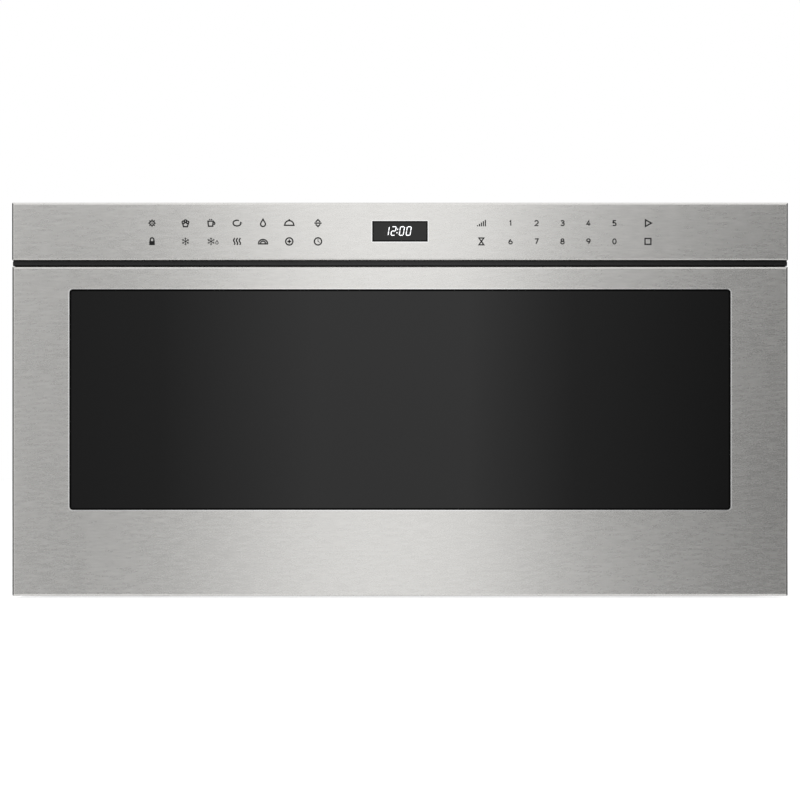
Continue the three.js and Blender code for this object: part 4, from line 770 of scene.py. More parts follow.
SIGNS = {  # what each sign is drawn of: the kind of mark, and its points or its place and radius
    "gear": [("line", ray, 0.62) for ray in rays(8, 1.55, 2.3)]
            + [("ring", 0, 0, 1.35), ("disc", 0, 0, 0.45)],
    "lock": [("area", [(-1.7, -2.3), (1.7, -2.3), (1.7, 0.2), (-1.7, 0.2)]),
             ("line", [(-1.1, 0.1)] + arc(0, 1.0, 1.1, 1.2, 180, 0, 10) + [(1.1, 0.1)])],
    "puffs": [("ring", x, z, 0.78) for x, z in ((-1.25, 0.5), (0, 1.2), (1.25, 0.5))]
             + [("line", [(-1.7, -0.3), (-1.2, -2.2), (1.2, -2.2), (1.7, -0.3)])],
    "flake": forked_arms(),
    "cup": [("shape", [(-1.9, 1.2), (-1.6, -1.9), (1.0, -1.9), (1.3, 1.2)]),
            ("line", arc(1.35, -0.1, 0.95, 0.8, 80, -80, 8)),
            ("line", [(-1.0, 1.9), (-0.7, 2.5)]), ("line", [(0.2, 1.9), (0.5, 2.5)])],
    "thaw": forked_arms() + [("shape", [(3.6, 0.6)] + arc(3.6, -0.9, 0.8, 0.8, 20, -200, 8), 0.42)],
    "loop": [("line", arc(0, 0, 2.4, 1.75, 60, 350, 18)), ("area", [(2.2, 1.0), (3.3, -0.1), (1.5, -0.35)])],
    "heat": [("line", wave(x)) for x in (-1.7, 0, 1.7)],
    "drop": [("shape", [(0, 2.4)] + arc(0, -0.6, 1.5, 1.5, 20, -200, 14))],
    "soften": [("line", arc(0, -1.1, size, size * 0.85, 0, 180, 12)) for size in (2.7, 1.5)]
              + [("line", [(-3.1, -1.5), (3.1, -1.5)])],
    "cover": [("line", arc(0, -1.0, 2.7, 2.5, 0, 180, 14)), ("line", [(-3.3, -1.35), (3.3, -1.35)]),
              ("disc", 0, 2.0, 0.5)],
    "add": [("ring", 0, 0, 2.2), ("line", [(-1.2, 0), (1.2, 0)]), ("line", [(0, -1.2), (0, 1.2)])],
    "travel": [("line", [(-1.4, side * 0.7), (0, side * 2.1), (1.4, side * 0.7)]) for side in SIDES]
              + [("line", [(-2.2, 0), (2.2, 0)])],
    "clock": [("ring", 0, 0, 2.2), ("line", [(0, 1.4), (0, 0), (1.0, -0.6)], 0.45)],
    "bars": [("area", bar(1.2 * n - 2.7, 0.8 * n - 1.2)) for n in range(5)],
    "glass": [("shape", [(-1.5, 2.1), (1.5, 2.1), (-1.5, -2.1), (1.5, -2.1)])],
    "start": [("shape", [(-1.5, 2.0), (2.1, 0), (-1.5, -2.0)])],
    "stop": [("shape", [(-1.8, -1.8), (1.8, -1.8), (1.8, 1.8), (-1.8, 1.8)])],
}


KEY_ROWS = (366.2, 348.3)
SIGN_KEYS = (  # x, and the signs of the upper and the lower row
    (-242.5, "gear", "lock"), (-209.8, "puffs", "flake"), (-184.8, "cup", "thaw"), (-159.4, "loop", "heat"),
    (-134.0, "drop", "soften"), (-108.3, "cover", "add"), (-80.2, "travel", "clock"), (79.6, "bars", "glass"),
    (242.5, "start", "stop"),
)
NUMBER_KEYS = (108.1, 25.4)  # first column, and the step between columns

LIT_HIGH = 9.3  # display digits
LIT_WIDE = 4.9
LIT_PEN = 0.95
LIT_PLACES = (-13.0, -6.3, 1.8, 8.5)  # their middles
LIT_COLON = -2.6
LIT_SLANT = math.tan(math.radians(9))
SEGMENTS = {"0": "abcdef", "1": "bc", "2": "abged"}  # lit bars: clockwise from the top, then the middle


def draw_segment(ink, letter):
    """One bar of a display digit, with pointed ends and the digit's slant."""
    x, z, half = LIT_WIDE / 2 - LIT_PEN / 2, LIT_HIGH / 2 - LIT_PEN / 2, LIT_PEN / 2 * 0.84
    ends = {
        "a": ((-x, z), (x, z)), "b": ((x, z), (x, 0)), "c": ((x, 0), (x, -z)), "d": ((-x, -z), (x, -z)),
        "e": ((-x, 0), (-x, -z)), "f": ((-x, z), (-x, 0)), "g": ((-x, 0), (x, 0)),
    }[letter]
    start, end = (Vector(p) for p in ends)
    along = (end - start).normalized()
    side = Vector((-along.y, along.x)) * half
    start, end = start + along * 0.14, end - along * 0.14
    outline = [start, start + along * half + side, end - along * half + side, end]
    outline += [end - along * half - side, start + along * half - side]
    ink.slab([(p.x + p.y * LIT_SLANT, p.y) for p in outline])


def make_display():
    """The clock: four lit digits and a colon, over faint unlit segments."""
    low, high = corners("display_lens")
    middle = (low[2] + high[2]) / 2 + 0.35
    lit, unlit = Print(low[1] - 0.03), Print(low[1] - 0.01)
    for x, digit in zip(LIT_PLACES, "1200"):
        for letter in "abcdefg":
            ink = lit if letter in SEGMENTS[digit] else unlit
            ink.centre = (x, middle)
            draw_segment(ink, letter)
    for rise in (-1.75, 1.75):
        lit.centre = (LIT_COLON + rise * LIT_SLANT, middle + rise)
        lit.disc(0, 0, 0.6)
    lit.piece("display_digits", LIT)
    unlit.piece("display_unlit_segments", UNLIT)


def make_keys():
    """Plain numerals and small generic signs over the touch keys."""
    numbers, signs = Print(), Print(size=1.6)
    for n in range(10):
        numbers.centre = (NUMBER_KEYS[0] + NUMBER_KEYS[1] * (n % 5), KEY_ROWS[n // 5])
        draw_digit(numbers, (n + 1) % 10)
    draw = {
        "line": signs.stroke, "shape": signs.outlined, "area": signs.slab, "ring": signs.ring, "disc": signs.disc,
    }
    for x, *names in SIGN_KEYS:
        for name, z in zip(names, KEY_ROWS):
            signs.centre = (x, z)
            for kind, *sizes in SIGNS[name]:
                draw[kind](*sizes)
    numbers.piece("key_numbers", PRINT, angle=20)
    signs.piece("key_signs", PRINT, angle=20)


def make_vent():
    """The dark strip between panel and door: a flat face under an air slot with a row of fine ribs."""
    low, high = corners("vent_trim")
    left, right, bottom, top = low[0] - 0.8, high[0] + 0.8, low[2] + 0.1, high[2] - 0.1
    front, back = low[1], high[1]
    slot = front + 4
    form = Form()
    form.run((
        (front + 2.5, bottom), (front + 2.5, bottom + 0.35), (front, bottom + 0.5), (front, top - 1.4),
        (slot, top - 1.3), (slot, top), (back, top), (back, bottom),
    ), (left, right))
    for x in spread(left + 6, right - 6, 80):
        form.block((x - 0.35, front + 1.2, top - 1.4), (x + 0.35, slot + 0.1, top - 0.05))
    form.piece("vent_strip", VENT_BLACK, rounding=0.1, segments=1, replaces=("vent_trim",))


def make_front():
    skin("door_skin", "drawer_front", WINDOW_HOLE, WINDOW_CORNER, "drawer", 0.25, (0.2, 0.0))
    trim_ring("window_trim", WINDOW_HOLE, WINDOW_CORNER, "drawer", 0.2, 0.9, 4)
    painted_shadow_ring("window_painted_shadow", WINDOW_HOLE, WINDOW_CORNER, "drawer", 2.0, 1.0, 1.45)
    skin("panel_skin", "control_panel", DISPLAY_HOLE, DISPLAY_CORNER, "cabinet", 0.0, (0.3, 0.3))
    trim_ring("display_trim", DISPLAY_HOLE, DISPLAY_CORNER, "cabinet", 0.1, 0.95, 1)
    painted_shadow_ring("display_painted_shadow", DISPLAY_HOLE, DISPLAY_CORNER, "cabinet", 1.3, 0.28, 0.47)
    make_display()
    make_keys()
    make_vent()


# ---------------------------------------------------------------- fasteners and pressings


def plus(long, wide):
    """Radius of a cross recess at an angle."""
    def reach(turn):
        c, s = max(abs(math.cos(turn)), 1e-6), max(abs(math.sin(turn)), 1e-6)
        return max(min(long / c, wide / s), min(wide / c, long / s))
    return reach


def hexagon(flat):
    """Radius of a hexagon, flat mm from its middle to a side, at an angle."""
    return lambda turn: flat / math.cos((turn % (math.pi / 3)) - math.pi / 6)


def cross_screw(form, point, axis, size):
    """A domed head of size mm radius with a cross recess."""
    recess = [(0.42 * size, plus(0.55 * size, 0.17 * size)), (0.1 * size, plus(0.42 * size, 0.12 * size))]
    dome = [(-0.3, size), (0.12 * size, size), (0.3 * size, 0.88 * size), (0.42 * size, 0.66 * size)]
    form.turned(point, axis, dome + recess, 24)


def hex_screw(form, point, axis, size=3.2):
    """A hexagon washer head with a cross recess."""
    washer = [(-0.3, 1.75 * size), (0.25, 1.75 * size), (0.55, 1.6 * size), (0.6, hexagon(size))]
    head = [(0.6 + 0.75 * size, hexagon(size)), (0.6 + 0.95 * size, 0.92 * size)]
    head += [(0.6 + 0.9 * size, 0.7 * size), (0.6 + 0.86 * size, plus(0.58 * size, 0.18 * size))]
    form.turned(point, axis, washer + head + [(0.4 + 0.3 * size, plus(0.44 * size, 0.12 * size))], 24)


def flat_screw(form, point, axis, size=3.4):
    """A thin countersunk head with a cross recess, which stands 0.35 mm proud."""
    rings = [(-0.3, size), (0.22, size), (0.35, 0.9 * size), (0.35, plus(0.55 * size, 0.17 * size))]
    form.turned(point, axis, rings + [(0.08, plus(0.5 * size, 0.13 * size))], 24)


def rivet(form, point, axis, size):
    dome = [(-0.2, size), (0.2, size), (0.42 * size, 0.8 * size)]
    form.turned(point, axis, dome + [(0.52 * size, 0.42 * size), (0.4 * size, 0.3 * size)], 16)


def grid(fastener, form, xs, ds, zs, axis, *size):
    """A fastener wherever the given x, depths and heights cross."""
    for x in xs:
        for d in ds:
            for z in zs:
                fastener(form, (x, d, z), axis, *size)


def bead(form, start, end, normal, wide, high, steps=7):
    """A stiffening bead pressed outward from a sheet, with tapered ends."""
    start, end, normal = Vector(start), Vector(end), Vector(normal)
    along = (end - start).normalized()
    across = along.cross(normal)
    length = (end - start).length
    reach = 1.2 * wide
    stations = [reach * (1 - math.cos(math.pi / 2 * n / steps)) for n in range(steps + 1)]
    stations += [length - s for s in reversed(stations)]
    loops = []
    for station in stations:
        near = min(station, length - station, reach) / reach
        size = math.sqrt(max(0.0, 1 - (1 - near) ** 2)) * 0.98 + 0.02
        middle = start + along * station
        half = across * wide / 2 * (0.35 + 0.65 * size)
        loop = []
        for n in range(11):
            side = math.cos(math.pi * n / 10)
            rise = high * size * (0.5 + 0.5 * math.cos(math.pi * side)) ** 0.8
            loop.append(middle + half * side + normal * rise)
        loops.append(loop + [middle - normal * 0.3 - half, middle - normal * 0.3 + half])
    form.loft(loops)


RING_HIGH = 0.45


def raised_ring(form, hole, radius, inner, outer, face, side=-1):
    """A low flat ring round an opening, between two distances from it; its face looks to side along Y."""
    edge = 0.6 * RING_HIGH
    section = ((inner, -0.3), (inner, edge), (inner + 0.5, RING_HIGH),
               (outer - 0.5, RING_HIGH), (outer, edge), (outer, -0.3))
    form.border(hole, radius, [(grow, face + side * out) for grow, out in section])


# ---------------------------------------------------------------- cabinet


FIELD = ((0, -0.4), (0, 0.1), (-0.75, 0.6), (-4.25, 2.7), (-5, 3))  # the top's pressed field: growth, rise
FIELD_CORNER = 28
FIELD_HALF = 310
FIELD_RISE = FIELD[-1][1]
TOP_BEAD, SIDE_BEAD, BACK_BEAD = (24, 4.0), (22, 4.0), (20, 3.6)  # width and height
SIDE_BEADS = (96, 176, 275)  # heights of their middles
SPOT_WELD = ((-0.2, 2.6), (0.12, 2.4), (0.05, 1.2))  # height and radius
BACK_BEADS = ((285, -300, 90), (190, -95, 300), (120, -240, 300), (62, -240, 300))  # height, start, end
EARTH_SCREW = (-262, 96)
FLANGE_CORNER = 2
NUT = ((-0.5, 14.2), (2.2, 14.2), (2.9, 13.4), (2.9, 12.2), (-0.5, 12.2))  # height and radius
NUT_FLATS = 14  # a larger radius is six-sided
FRAME_SCREWS = (((-335, -250, 250, 335), (22, 150, 338)), ((-120, 120), (30, 320)))  # x and height
FRAME_SLOTS = ((278, 296.3, 38.2, 128), (294, 310, 255, 273))  # inner and outer side, bottom, top
MOUTH = (-232, 57.8), (232, 282.1)


def make_cover():
    """Pressings, screws and spot welds of the galvanised cover."""
    low, high = corners("cabinet_cover")
    side, top, back = high[0], high[2], corners("back_panel")[1][1]
    front, foot = low[1], low[2]
    beads, screws, welds = Form(), Form(), Form()
    field = (-FIELD_HALF, front + 60), (FIELD_HALF, back - 45)
    beads.loft([plan(*field, FIELD_CORNER, grow, top + rise, 6) for grow, rise in FIELD])
    for d in spread(front + 120, back - 100, 5):
        bead(beads, (-250, d, top + FIELD_RISE), (250, d, top + FIELD_RISE), UP, *TOP_BEAD)
    for sign in SIDES:
        wall, out = sign * side, (sign, 0, 0)
        for z in SIDE_BEADS:
            bead(beads, (wall, front + 70, z), (wall, back - 190, z), out, *SIDE_BEAD)
        bead(beads, (wall, back - 70, 70), (wall, back - 70, 200), out, *SIDE_BEAD)
        grid(hex_screw, screws, [wall], spread(front + 28, back - 22, 5), [foot + 8], out)
        grid(hex_screw, screws, [sign * (side - 18)], spread(front + 40, back - 60, 4), [top], UP)
        for z in spread(foot + 60, top - 26, 4):
            welds.turned((wall, front + 9, z), out, SPOT_WELD, 14)
    grid(hex_screw, screws, spread(-300, 300, 5), [front + 16], [top], UP, 2.8)
    beads.piece("cover_beads", ZINC, angle=50)
    screws.piece("cover_screws", SLIDE)
    welds.piece("cover_spot_welds", ZINC)


def make_back():
    """Folded flange, screws, beads, earth screw and gland nut of the back."""
    low, high = corners("back_panel")
    back, left, right, bottom, top = high[1], low[0], high[0], low[2], high[2]
    flange, screws, beads, nut = Form(), Form(), Form(), Form()
    outline = (left + 0.4, bottom + 0.4), (right - 0.4, top - 0.4)
    flange.border(outline, FLANGE_CORNER, (
        (0, back - 3), (0, back + 0.5), (-0.5, back + 1), (-13, back + 1), (-13.6, back + 0.4),
        (-13.6, back - 0.1), (-1.2, back - 0.1), (-1.2, back - 3),
    ))
    flange.piece("back_flange", ZINC, rounding=0.15)
    grid(hex_screw, screws, spread(left + 8, right - 8, 6), [back + 1], (bottom + 8, top - 8), REAR, 2.9)
    grid(hex_screw, screws, (left + 8, right - 8), [back + 1], spread(bottom + 90, top - 90, 3), REAR, 2.9)
    for z, start, end in BACK_BEADS:
        bead(beads, (start, back, z), (end, back, z), REAR, *BACK_BEAD)
    hex_screw(screws, (EARTH_SCREW[0], back, EARTH_SCREW[1]), REAR, 3.4)
    screws.piece("back_screws", SLIDE)
    beads.piece("back_beads", ZINC, angle=50)
    x, _, z = [(a + b) / 2 for a, b in zip(*corners("cord_gland"))]
    loops = []
    for height, reach in NUT:
        shape = hexagon(reach) if reach > NUT_FLATS else lambda turn, r=reach: r
        points = [(shape(t) * math.cos(t), shape(t) * math.sin(t)) for t in turns_of(48)]
        loops.append([(x + across, back + 0.2 + height, z + up) for across, up in points])
    nut.loft(loops, closed=True)
    nut.piece("gland_nut", BLACK, rounding=0.2)


def make_frame():
    """Screws, slot bezels and mouth bead of the front frame, and the seal brush behind the vent strip."""
    face = corners("front_frame")[0][1]
    screws, bezels, mouth, brush = Form(), Form(), Form(), Form()
    for xs, heights in FRAME_SCREWS:
        grid(flat_screw, screws, xs, [face], heights, AHEAD)
    screws.piece("frame_screws", ZINC)
    for sign in SIDES:
        for inner, outer, bottom, top in FRAME_SLOTS:
            near, far = sorted((sign * inner, sign * outer))
            raised_ring(bezels, ((near, bottom), (far, top)), 1.5, 0.6, 3.2, face)
    raised_ring(mouth, MOUTH, 4, 3.5, 8.5, face)
    bezels.piece("slot_bezels", BLACK, angle=50)
    mouth.piece("mouth_bead", ZINC, angle=50, slot="frame_steel")
    low, high = corners("vent_trim")
    left, right, front, back, foot = low[0] + 1, high[0] - 1, low[1] + 4, high[1] - 1, low[2] - 0.45
    brush.run((
        (front + 1, foot), (back, foot), (back, foot + 0.85), (back - 2, foot + 0.85),
        (back - 2.4, foot + 0.6), (front + 2.4, foot + 0.6), (front + 2, foot + 0.85),
        (front, foot + 0.85), (front, foot + 0.3),
    ), (left, right))
    for x in spread(left + 2, right - 2, 120):
        brush.block((x - 0.8, front - 0.7, foot + 0.1), (x + 0.8, front + 0.2, foot + 0.75))
    brush.piece("vent_brush", SEAL_AND_SHADE_BLACK, rounding=0.05, segments=1)


def make_housing():
    """Screws and stiffening ribs on the back and top of the control housing."""
    low, high = corners("control_housing")
    left, right, back, top = low[0], high[0], high[1], high[2]
    ribs, screws = Form(), Form()
    for x in spread(left + 24, right - 24, 17):
        ribs.block((x - 0.8, back - 10, top - 0.1), (x + 0.8, back - 1.5, top + 0.55))
    grid(cross_screw, screws, spread(left + 14, right - 14, 6), [18], [top], UP, 2.6)
    ribs.piece("housing_ribs", BLACK, rounding=0.2)
    screws.piece("housing_screws", DARK_STEEL)


# ---------------------------------------------------------------- drawer


PLATE_SEAL = (  # growth from the plate's edge, and height over its top
    (0.2, -3.5), (1.7, -3.5), (1.7, 0.1), (1.2, 0.75), (0.2, 0.8), (-1.1, 0.35), (-1.3, 0.02), (0.1, 0.0),
)
PLATE_CORNER = 14
CHOKE_EDGES = ((-259.7, 30.1), (259.7, 309.8)), ((-209.7, 89.4), (209.7, 238.8))  # outer and inner
ARM_RIVETS = ((-282, 282), (70, 180, 300, 420), 112)  # x, depths, height
TUB_WALL = 5  # from the rim's edge to the wall


def make_tub_ribs():
    """Stiffening ribs under the tub's rim, on its sides and its back, and a rolled edge along the rim."""
    low, high = corners("drawer_tub")
    wall, front, back = high[0] - TUB_WALL, low[1], high[1] - TUB_WALL
    foot, rim = low[2], high[2] - 3.8
    ribs = Form()
    for sign in SIDES:
        for d in spread(front + 40, back - 40, 8):
            loops = []
            for out, bottom in ((-0.4, foot + 8), (3.0, foot + 14)):
                points = ((d - 0.9, bottom), (d + 0.9, bottom), (d + 0.9, rim), (d - 0.9, rim))
                loops.append([(sign * (wall + out), across, up) for across, up in points])
            ribs.loft(loops)
        near, far = sorted((sign * (wall - 0.3), sign * (wall + 1.6)))
        for bottom in (foot + 26, foot + 120):
            ribs.block((near, front + 30, bottom), (far, back - 22, bottom + 2))
    for x in spread(-180, 180, 7):
        ribs.block((x - 0.9, back - 0.4, foot + 10), (x + 0.9, back + 2.2, rim))
    ribs.piece("tub_ribs", TUB, "drawer", 0.35)


def make_drawer():
    """Seal round the floor plate, and the screws, gasket and rivets of the door's back and arms."""
    low, high = corners("floor_glass")
    seal, screws, gasket, rivets = Form(), Form(), Form(), Form()
    top = high[2]
    seal.loft([plan(low, high, PLATE_CORNER, grow, top + rise, 6) for grow, rise in PLATE_SEAL], closed=True)
    seal.piece("plate_seal", SILICONE, "drawer", angle=60)
    door = corners("door_frame")[1][1]
    grid(flat_screw, screws, spread(-330, 330, 7), [door], (12, 311), REAR, 3.2)
    grid(flat_screw, screws, (-350, 350), [door], (90, 170, 240), REAR, 3.2)
    screws.piece("door_back_screws", SLIDE, "drawer")
    for edge in CHOKE_EDGES:
        raised_ring(gasket, edge, 3, 0.6, 3.0, door, 1)
    gasket.piece("choke_gasket", SILICONE, "drawer", angle=50)
    make_tub_ribs()
    sides, depths, height = ARM_RIVETS
    for x in sides:
        grid(rivet, rivets, [x], depths, [height], (-x, 0, 0), 2.8)
    rivets.piece("arm_rivets", SLIDE, "drawer")


# ---------------------------------------------------------------- high-voltage parts


WINDING_STEPS = ((0.5, -0.5), (1.6, 3.0), (1.6, 8.0), (0.7, 11.0), (-1.6, 12.2), (-6.0, 12.5))  # growth, out
CLAMP = ((0.1, 40), (1.3, 40.2), (1.3, 55.8), (0.1, 56), (-0.4, 55), (-0.4, 41))  # growth and height
CANS = (  # x, depth, radius, height
    (-205, 590, 8, 24), (-226, 588, 6, 18), (-205, 570, 5, 14), (-290, 585, 6, 16),
)
SOCKETS = (-300, -276, -252)  # left sides
LEADS = (
    ((150, 521, 80), (140, 512, 96), (110, 520, 112), (75, 548, 118), (52, 556, 112), (50, 558, 102)),
    ((176, 521, 80), (160, 508, 104), (110, 506, 132), (60, 512, 150), (24, 521, 160), (12, 526, 174)),
    ((70, 558, 102), (74, 560, 118), (60, 566, 140), (34, 560, 156), (0, 530, 160), (-8, 526, 174)),
)
MAGNETS = (46.5, 102.5)  # undersides, over the magnetron's foot
MAGNET = ((0, 26.4), (0.9, 28), (7.3, 28), (8.2, 26.4))  # height and radius
TERMINALS = (-8, 12)
TERMINAL = ((6.5, 6.35), (6.5, 3.45), (5.2, 1.55))  # half its width, and depth behind the magnetron's front
GUARD_RINGS = (13, 26, 40, 54)
GUARD_WIRE = 0.9
MOTOR_BANDS = (8, 34, 58)  # from the motor's left end
BAND = ((-1.5, 17), (-1.5, 18.4), (-0.8, 18.9), (0.8, 18.9), (1.5, 18.4), (1.5, 17))  # along it, and radius


def make_transformer():
    """Windings and the core's bolts."""
    low, high = corners("transformer")
    left, right, bottom, top = low[0] + 8, high[0] - 8, low[2] + 2, high[2]
    middle = (bottom + top) / 2
    windings, bolts = Form(), Form()
    for sign, face in ((-1, low[1] + 10), (1, high[1] - 10)):
        section = [(grow, face + sign * out) for grow, out in WINDING_STEPS]
        for z0, z1 in ((bottom + 17, middle - 1), (middle + 1, top - 17)):
            windings.border(((left + 17, z0), (right - 17, z1)), 6, section, closed=False)
        grid(hex_screw, bolts, (left + 6, right - 6), [face], (bottom + 6, top - 6), (0, sign, 0), 2.6)
    windings.piece("transformer_windings", WINDING)
    bolts.piece("transformer_bolts", SLIDE)


def make_capacitor():
    """Clamp band round the can, with its screw, and the spade tabs."""
    low, high = corners("hv_capacitor")
    right, top = high[0], high[2]
    x, d = [(a + b) / 2 for a, b in zip(low, high)][:2]
    clamp = Form()
    clamp.loft([plan(low, high, 15, grow, z, 8) for grow, z in CLAMP], closed=True)
    clamp.block((right + 0.8, d - 8, 42), (right + 2.4, d + 8, 54))
    for tab in (x - 10, x + 10):
        clamp.block((tab - 3.2, d - 0.4, top - 4), (tab + 3.2, d + 0.4, top + 5))
    hex_screw(clamp, (right + 2.4, d, 48), (1, 0, 0), 2.6)
    clamp.piece("capacitor_clamp", SLIDE, rounding=0.12, segments=1)


def make_board_parts():
    """Electrolytics, plug sockets and a finned cooler on the power board."""
    top = corners("power_board")[0][2] + 9.5
    foot = top - 0.3
    cans, sockets, cooler = Form(), Form(), Form()
    for x, d, radius, tall in CANS:
        rings = [(-0.5, radius), (1.5, radius), (2.2, 0.93 * radius), (3.0, radius), (tall - 0.8, radius)]
        rings += [(tall, 0.9 * radius), (tall, plus(0.6 * radius, 0.12 * radius))]
        cans.turned((x, d, top), UP, rings + [(tall - 0.4, plus(0.5 * radius, 0.08 * radius))], 24)
    for x in SOCKETS:
        sockets.block((x, 516, foot), (x + 20, 526, top + 8))
        for pin in spread(x + 2.2, x + 15.4, 4):
            sockets.block((pin, 517.5, top + 7), (pin + 2.4, 524.5, top + 9.5))
    for d in range(520, 545, 4):
        cooler.block((-198, d, foot), (-184, d + 1.2, top + 24))
    cooler.block((-193, 519.5, foot), (-190, 545.7, top + 25))
    cans.piece("board_electrolytics", DARK_STEEL)
    sockets.piece("board_sockets", NYLON, rounding=0.2, segments=1)
    cooler.piece("board_cooler", ALUMINIUM, rounding=0.1, segments=1)


def smooth_path(points, steps=6):
    """Points of a smooth curve through the given points."""
    points = [Vector(p) for p in points]
    path = []
    for n in range(len(points) - 1):
        before, start, end, after = (points[min(max(n + k, 0), len(points) - 1)] for k in (-1, 0, 1, 2))
        for step in range(steps):
            t = step / steps
            curve = 2 * start + (end - before) * t + (2 * before - 5 * start + 4 * end - after) * t ** 2
            path.append((curve + (3 * start - before - 3 * end + after) * t ** 3) / 2)
    return path + [points[-1]]


def make_wiring():
    """High-voltage leads from the transformer through the capacitor to the magnetron's filter box."""
    leads, sleeves = Form(), Form()
    for run in LEADS:
        leads.tube(smooth_path(run), 1.7, 10)
        sleeves.turned(run[-1], UP, [(-3, 2.4), (-1, 2.6), (2.5, 2.6), (3.5, 1.2)], 14)
    leads.piece("high_voltage_leads", WIRE)
    sleeves.piece("lead_sleeves", NYLON)


def make_motor():
    """Bands and end screws of the drive motor's can."""
    low, high = corners("drive_motor")
    left, d, z = low[0], high[1] - 22, low[2] + 22.7
    bands, screws = Form(), Form()
    for step in MOTOR_BANDS:
        bands.turned((left + step, d, z), (1, 0, 0), BAND, 36)
    for turn in (45, 135, 225, 315):
        across, up = 12 * math.cos(math.radians(turn)), 12 * math.sin(math.radians(turn))
        cross_screw(screws, (left + 4, d + across, z + up), (-1, 0, 0), 2.2)
    bands.piece("drive_motor_bands", DARK_STEEL)
    screws.piece("drive_motor_screws", SLIDE)


def make_magnetron():
    """Ring magnets above and below the fins, and the terminal block of the filter box."""
    low, high = corners("magnetron")
    magnets, block = Form(), Form()
    for rise in MAGNETS:
        magnets.turned((0, (low[1] + high[1]) / 2, low[2] + rise), UP, MAGNET, 36)
    magnets.piece("magnetron_magnets", DARK_STEEL)
    bottom, top = low[2] + 1.6, low[2] + 11.6
    for x in TERMINALS:
        loops = []
        for reach, back in TERMINAL:
            outline = rounded((x - reach, bottom), (x + reach, top), 1.5, steps=3)
            loops.append([(across, low[1] + back, up) for across, up in outline])
        block.loft(loops)
    block.piece("magnetron_terminals", NYLON)


def make_fan_guard():
    """Wire guard over the duct's mouth: rings joined by spokes."""
    low, high = corners("fan_shroud")
    x, d, z = high[0] + 0.8, (low[1] + high[1]) / 2, high[2] - 60
    guard = Form()
    for radius in GUARD_RINGS:
        loops = []
        for turn in turns_of(36):
            out = Vector((0, math.cos(turn), math.sin(turn)))
            middle = Vector((x, d, z)) + out * radius
            rims = [out * math.cos(t) + Vector((math.sin(t), 0, 0)) for t in turns_of(6)]
            loops.append([middle + rim * GUARD_WIRE for rim in rims])
        guard.loft(loops, closed=True)
    for n in range(8):
        turn = math.radians(45 * n + 22.5)
        ends = [(x + 0.7, d + r * math.cos(turn), z + r * math.sin(turn)) for r in (12, GUARD_RINGS[-1])]
        guard.tube(ends, GUARD_WIRE, 6)
    guard.piece("fan_guard", SLIDE)


# ---------------------------------------------------------------- stage


AMBIENT = 0.4  # what the world gives diffuse surfaces
ROOM = 1.8  # metres from the middle to the side, back, ceiling and ground cards
CARD_GAP = 1.0  # metres in front of the front plane
CARD_LIGHT = (  # metres across, and how bright the card is there
    (-1.2, 0.95), (-0.8, 1.2), (-0.6, 0.68), (-0.42, 0.365), (-0.28, 0.465), (-0.1, 0.98), (0.08, 1.0),
    (0.205, 0.48), (0.38, 0.268), (0.55, 0.115), (0.8, 0.6), (1.2, 0.85),
)
CARD_FALL = ((-0.36, 0.81), (0.05, 0.885), (0.4, 1.03), (0.66, 1.07))  # metres up, and share of that light
SIDE_FALL = ((-ROOM, 0.6), (0.2, 1.0), (ROOM, 0.9))
CEILING = ((-ROOM, 0.9), (-0.7, 0.95), (-0.35, 1.2), (0.0, 0.8), (ROOM, 0.5))  # metres behind, and brightness
GROUND = ((-ROOM, 0.55), (-0.9, 0.65), (-0.35, 1.15), (0.0, 0.8), (ROOM, 0.4))
BACK_FALL = ((-ROOM, 0.4), (ROOM, 0.6))
LAMPS = (  # name, place, size and power
    ("key", (-1.6, -2.6, 2.6), 1.4, 95),
    ("fill", (2.4, -1.2, 1.8), 2.0, 22),
    ("back", (0.6, 2.6, 2.2), 2.0, 25),
)
LAMP_AIM = (0, 0, 0.1)
CAMERA_DISTANCE = 5.0
PICTURE_WIDTH = 0.7824  # metres that the picture shows across the front plane
EYE_HEIGHT = 0.1932


def background_rays(graph):
    """1 for camera, glossy and transmission rays."""
    rays = graph.add("ShaderNodeLightPath").outputs
    seen = graph.math("ADD", rays["Is Camera Ray"], rays["Is Glossy Ray"], clamp=True)
    return graph.math("ADD", seen, rays["Is Transmission Ray"], clamp=True)


def make_world():
    scene.world = bpy.data.worlds.new("studio")
    g = Graph(scene.world)
    plain = g.add("ShaderNodeBackground", Color=(1, 1, 1), Strength=AMBIENT).outputs[0]
    white = g.add("ShaderNodeBackground", Color=(1, 1, 1)).outputs[0]
    both = g.add("ShaderNodeMixShader", _0=background_rays(g), _1=plain, _2=white).outputs[0]
    g.add("ShaderNodeOutputWorld", Surface=both)


def make_floor():
    """A pale floor that keeps the shadow and fades to the white background."""
    bpy.ops.mesh.primitive_circle_add(vertices=96, radius=7.0, fill_type="NGON", location=(0, 0, -0.0006))
    floor = bpy.context.object
    floor.name = "studio_floor"
    s = Shader("pale_floor")
    s.set(Base_Color=grey(0.58), Roughness=0.7, Specular_IOR_Level=0.1)
    surface = s.surface.outputs[0]
    lit = s.add("ShaderNodeAddShader", _0=surface, _1=s.add("ShaderNodeEmission", Strength=0.74).outputs[0])
    pick = s.add("ShaderNodeMixShader", _0=background_rays(s), _1=surface, _2=lit.outputs[0])
    s.fill(s.output, {"Surface": pick.outputs[0]})
    floor.data.materials.append(s.material)
    floor.visible_glossy = False


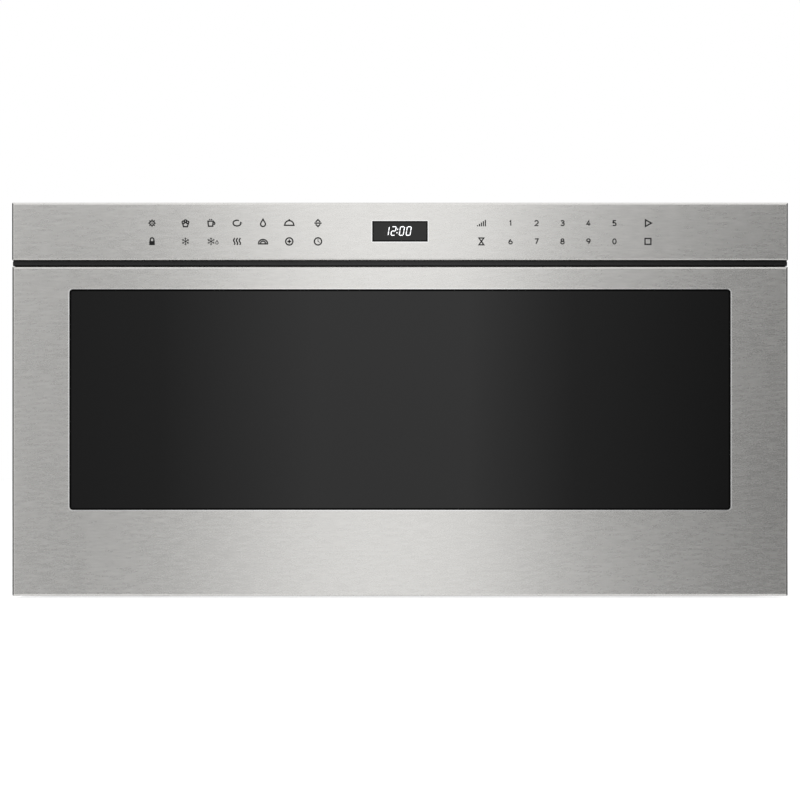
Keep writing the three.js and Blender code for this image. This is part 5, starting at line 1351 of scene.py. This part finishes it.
def make_card(name, columns):
    """A graded reflector card that only glossy rays see; columns hold (point in metres, brightness) pairs."""
    rows = len(columns[0])
    faces = [
        (column + row, column + rows + row, column + rows + row + 1, column + row + 1)
        for column in range(0, rows * (len(columns) - 1), rows)
        for row in range(rows - 1)
    ]
    mesh = bpy.data.meshes.new(name)
    mesh.from_pydata([point for column in columns for point, _ in column], [], faces)
    shade = mesh.attributes.new("brightness", "FLOAT", "POINT")
    shade.data.foreach_set("value", [light for column in columns for _, light in column])
    card = new_object(name, mesh)
    material = bpy.data.materials.new(name + "_light")
    g = Graph(material)
    level = g.add("ShaderNodeAttribute", {"attribute_name": "brightness"}).outputs["Fac"]
    g.add("ShaderNodeOutputMaterial", Surface=g.add("ShaderNodeEmission", Strength=level).outputs[0])
    mesh.materials.append(material)
    for rays in ("camera", "diffuse", "shadow", "transmission", "volume_scatter"):
        setattr(card, "visible_" + rays, False)


def make_cards():
    """The card that the front mirrors, and dimmer walls, ceiling and ground for the other sides."""
    front, ends = FRONT - CARD_GAP, (-ROOM, ROOM)
    columns = [[((x, front, z), light * share) for z, share in CARD_FALL] for x, light in CARD_LIGHT]
    make_card("front_card", columns)
    for name, x, near, far in (("left_card", -ROOM, 0.8, 0.42), ("right_card", ROOM, 0.66, 0.36)):
        depths = ((-2 * ROOM, near), (-ROOM, near), (ROOM, far))
        make_card(name, [[((x, y, z), light * share) for z, share in SIDE_FALL] for y, light in depths])
    for name, z, lights in (("ceiling_card", ROOM, CEILING), ("ground_card", -ROOM, GROUND)):
        make_card(name, [[((x, y, z), light) for y, light in lights] for x in ends])
    make_card("back_card", [[((x, ROOM, z), light) for z, light in BACK_FALL] for x in ends])


def area_lamp(name, spot, size, power):
    data = bpy.data.lights.new(name, "AREA")
    data.shape = "SQUARE"
    data.size = size
    data.energy = power
    lamp = new_object(name, data)
    lamp.location = spot
    lamp.rotation_euler = (Vector(LAMP_AIM) - Vector(spot)).to_track_quat("-Z", "Y").to_euler()
    lamp.visible_glossy = False


def make_stage():
    scene.view_settings.view_transform = "Standard"
    make_world()
    make_floor()
    make_cards()
    for lamp in LAMPS:
        area_lamp(*lamp)
    camera = bpy.data.cameras.new("camera")
    camera.sensor_width = 36
    camera.lens = camera.sensor_width * CAMERA_DISTANCE / PICTURE_WIDTH
    camera.clip_end = 60
    scene.camera = new_object("camera", camera)
    scene.camera.location = (0, FRONT - CAMERA_DISTANCE, EYE_HEIGHT)
    scene.camera.rotation_euler = (math.pi / 2, 0, 0)


dress_nodes()
make_front()
make_cover()
make_back()
make_frame()
make_housing()
make_drawer()
make_transformer()
make_capacitor()
make_board_parts()
make_wiring()
make_motor()
make_magnetron()
make_fan_guard()
make_stage()
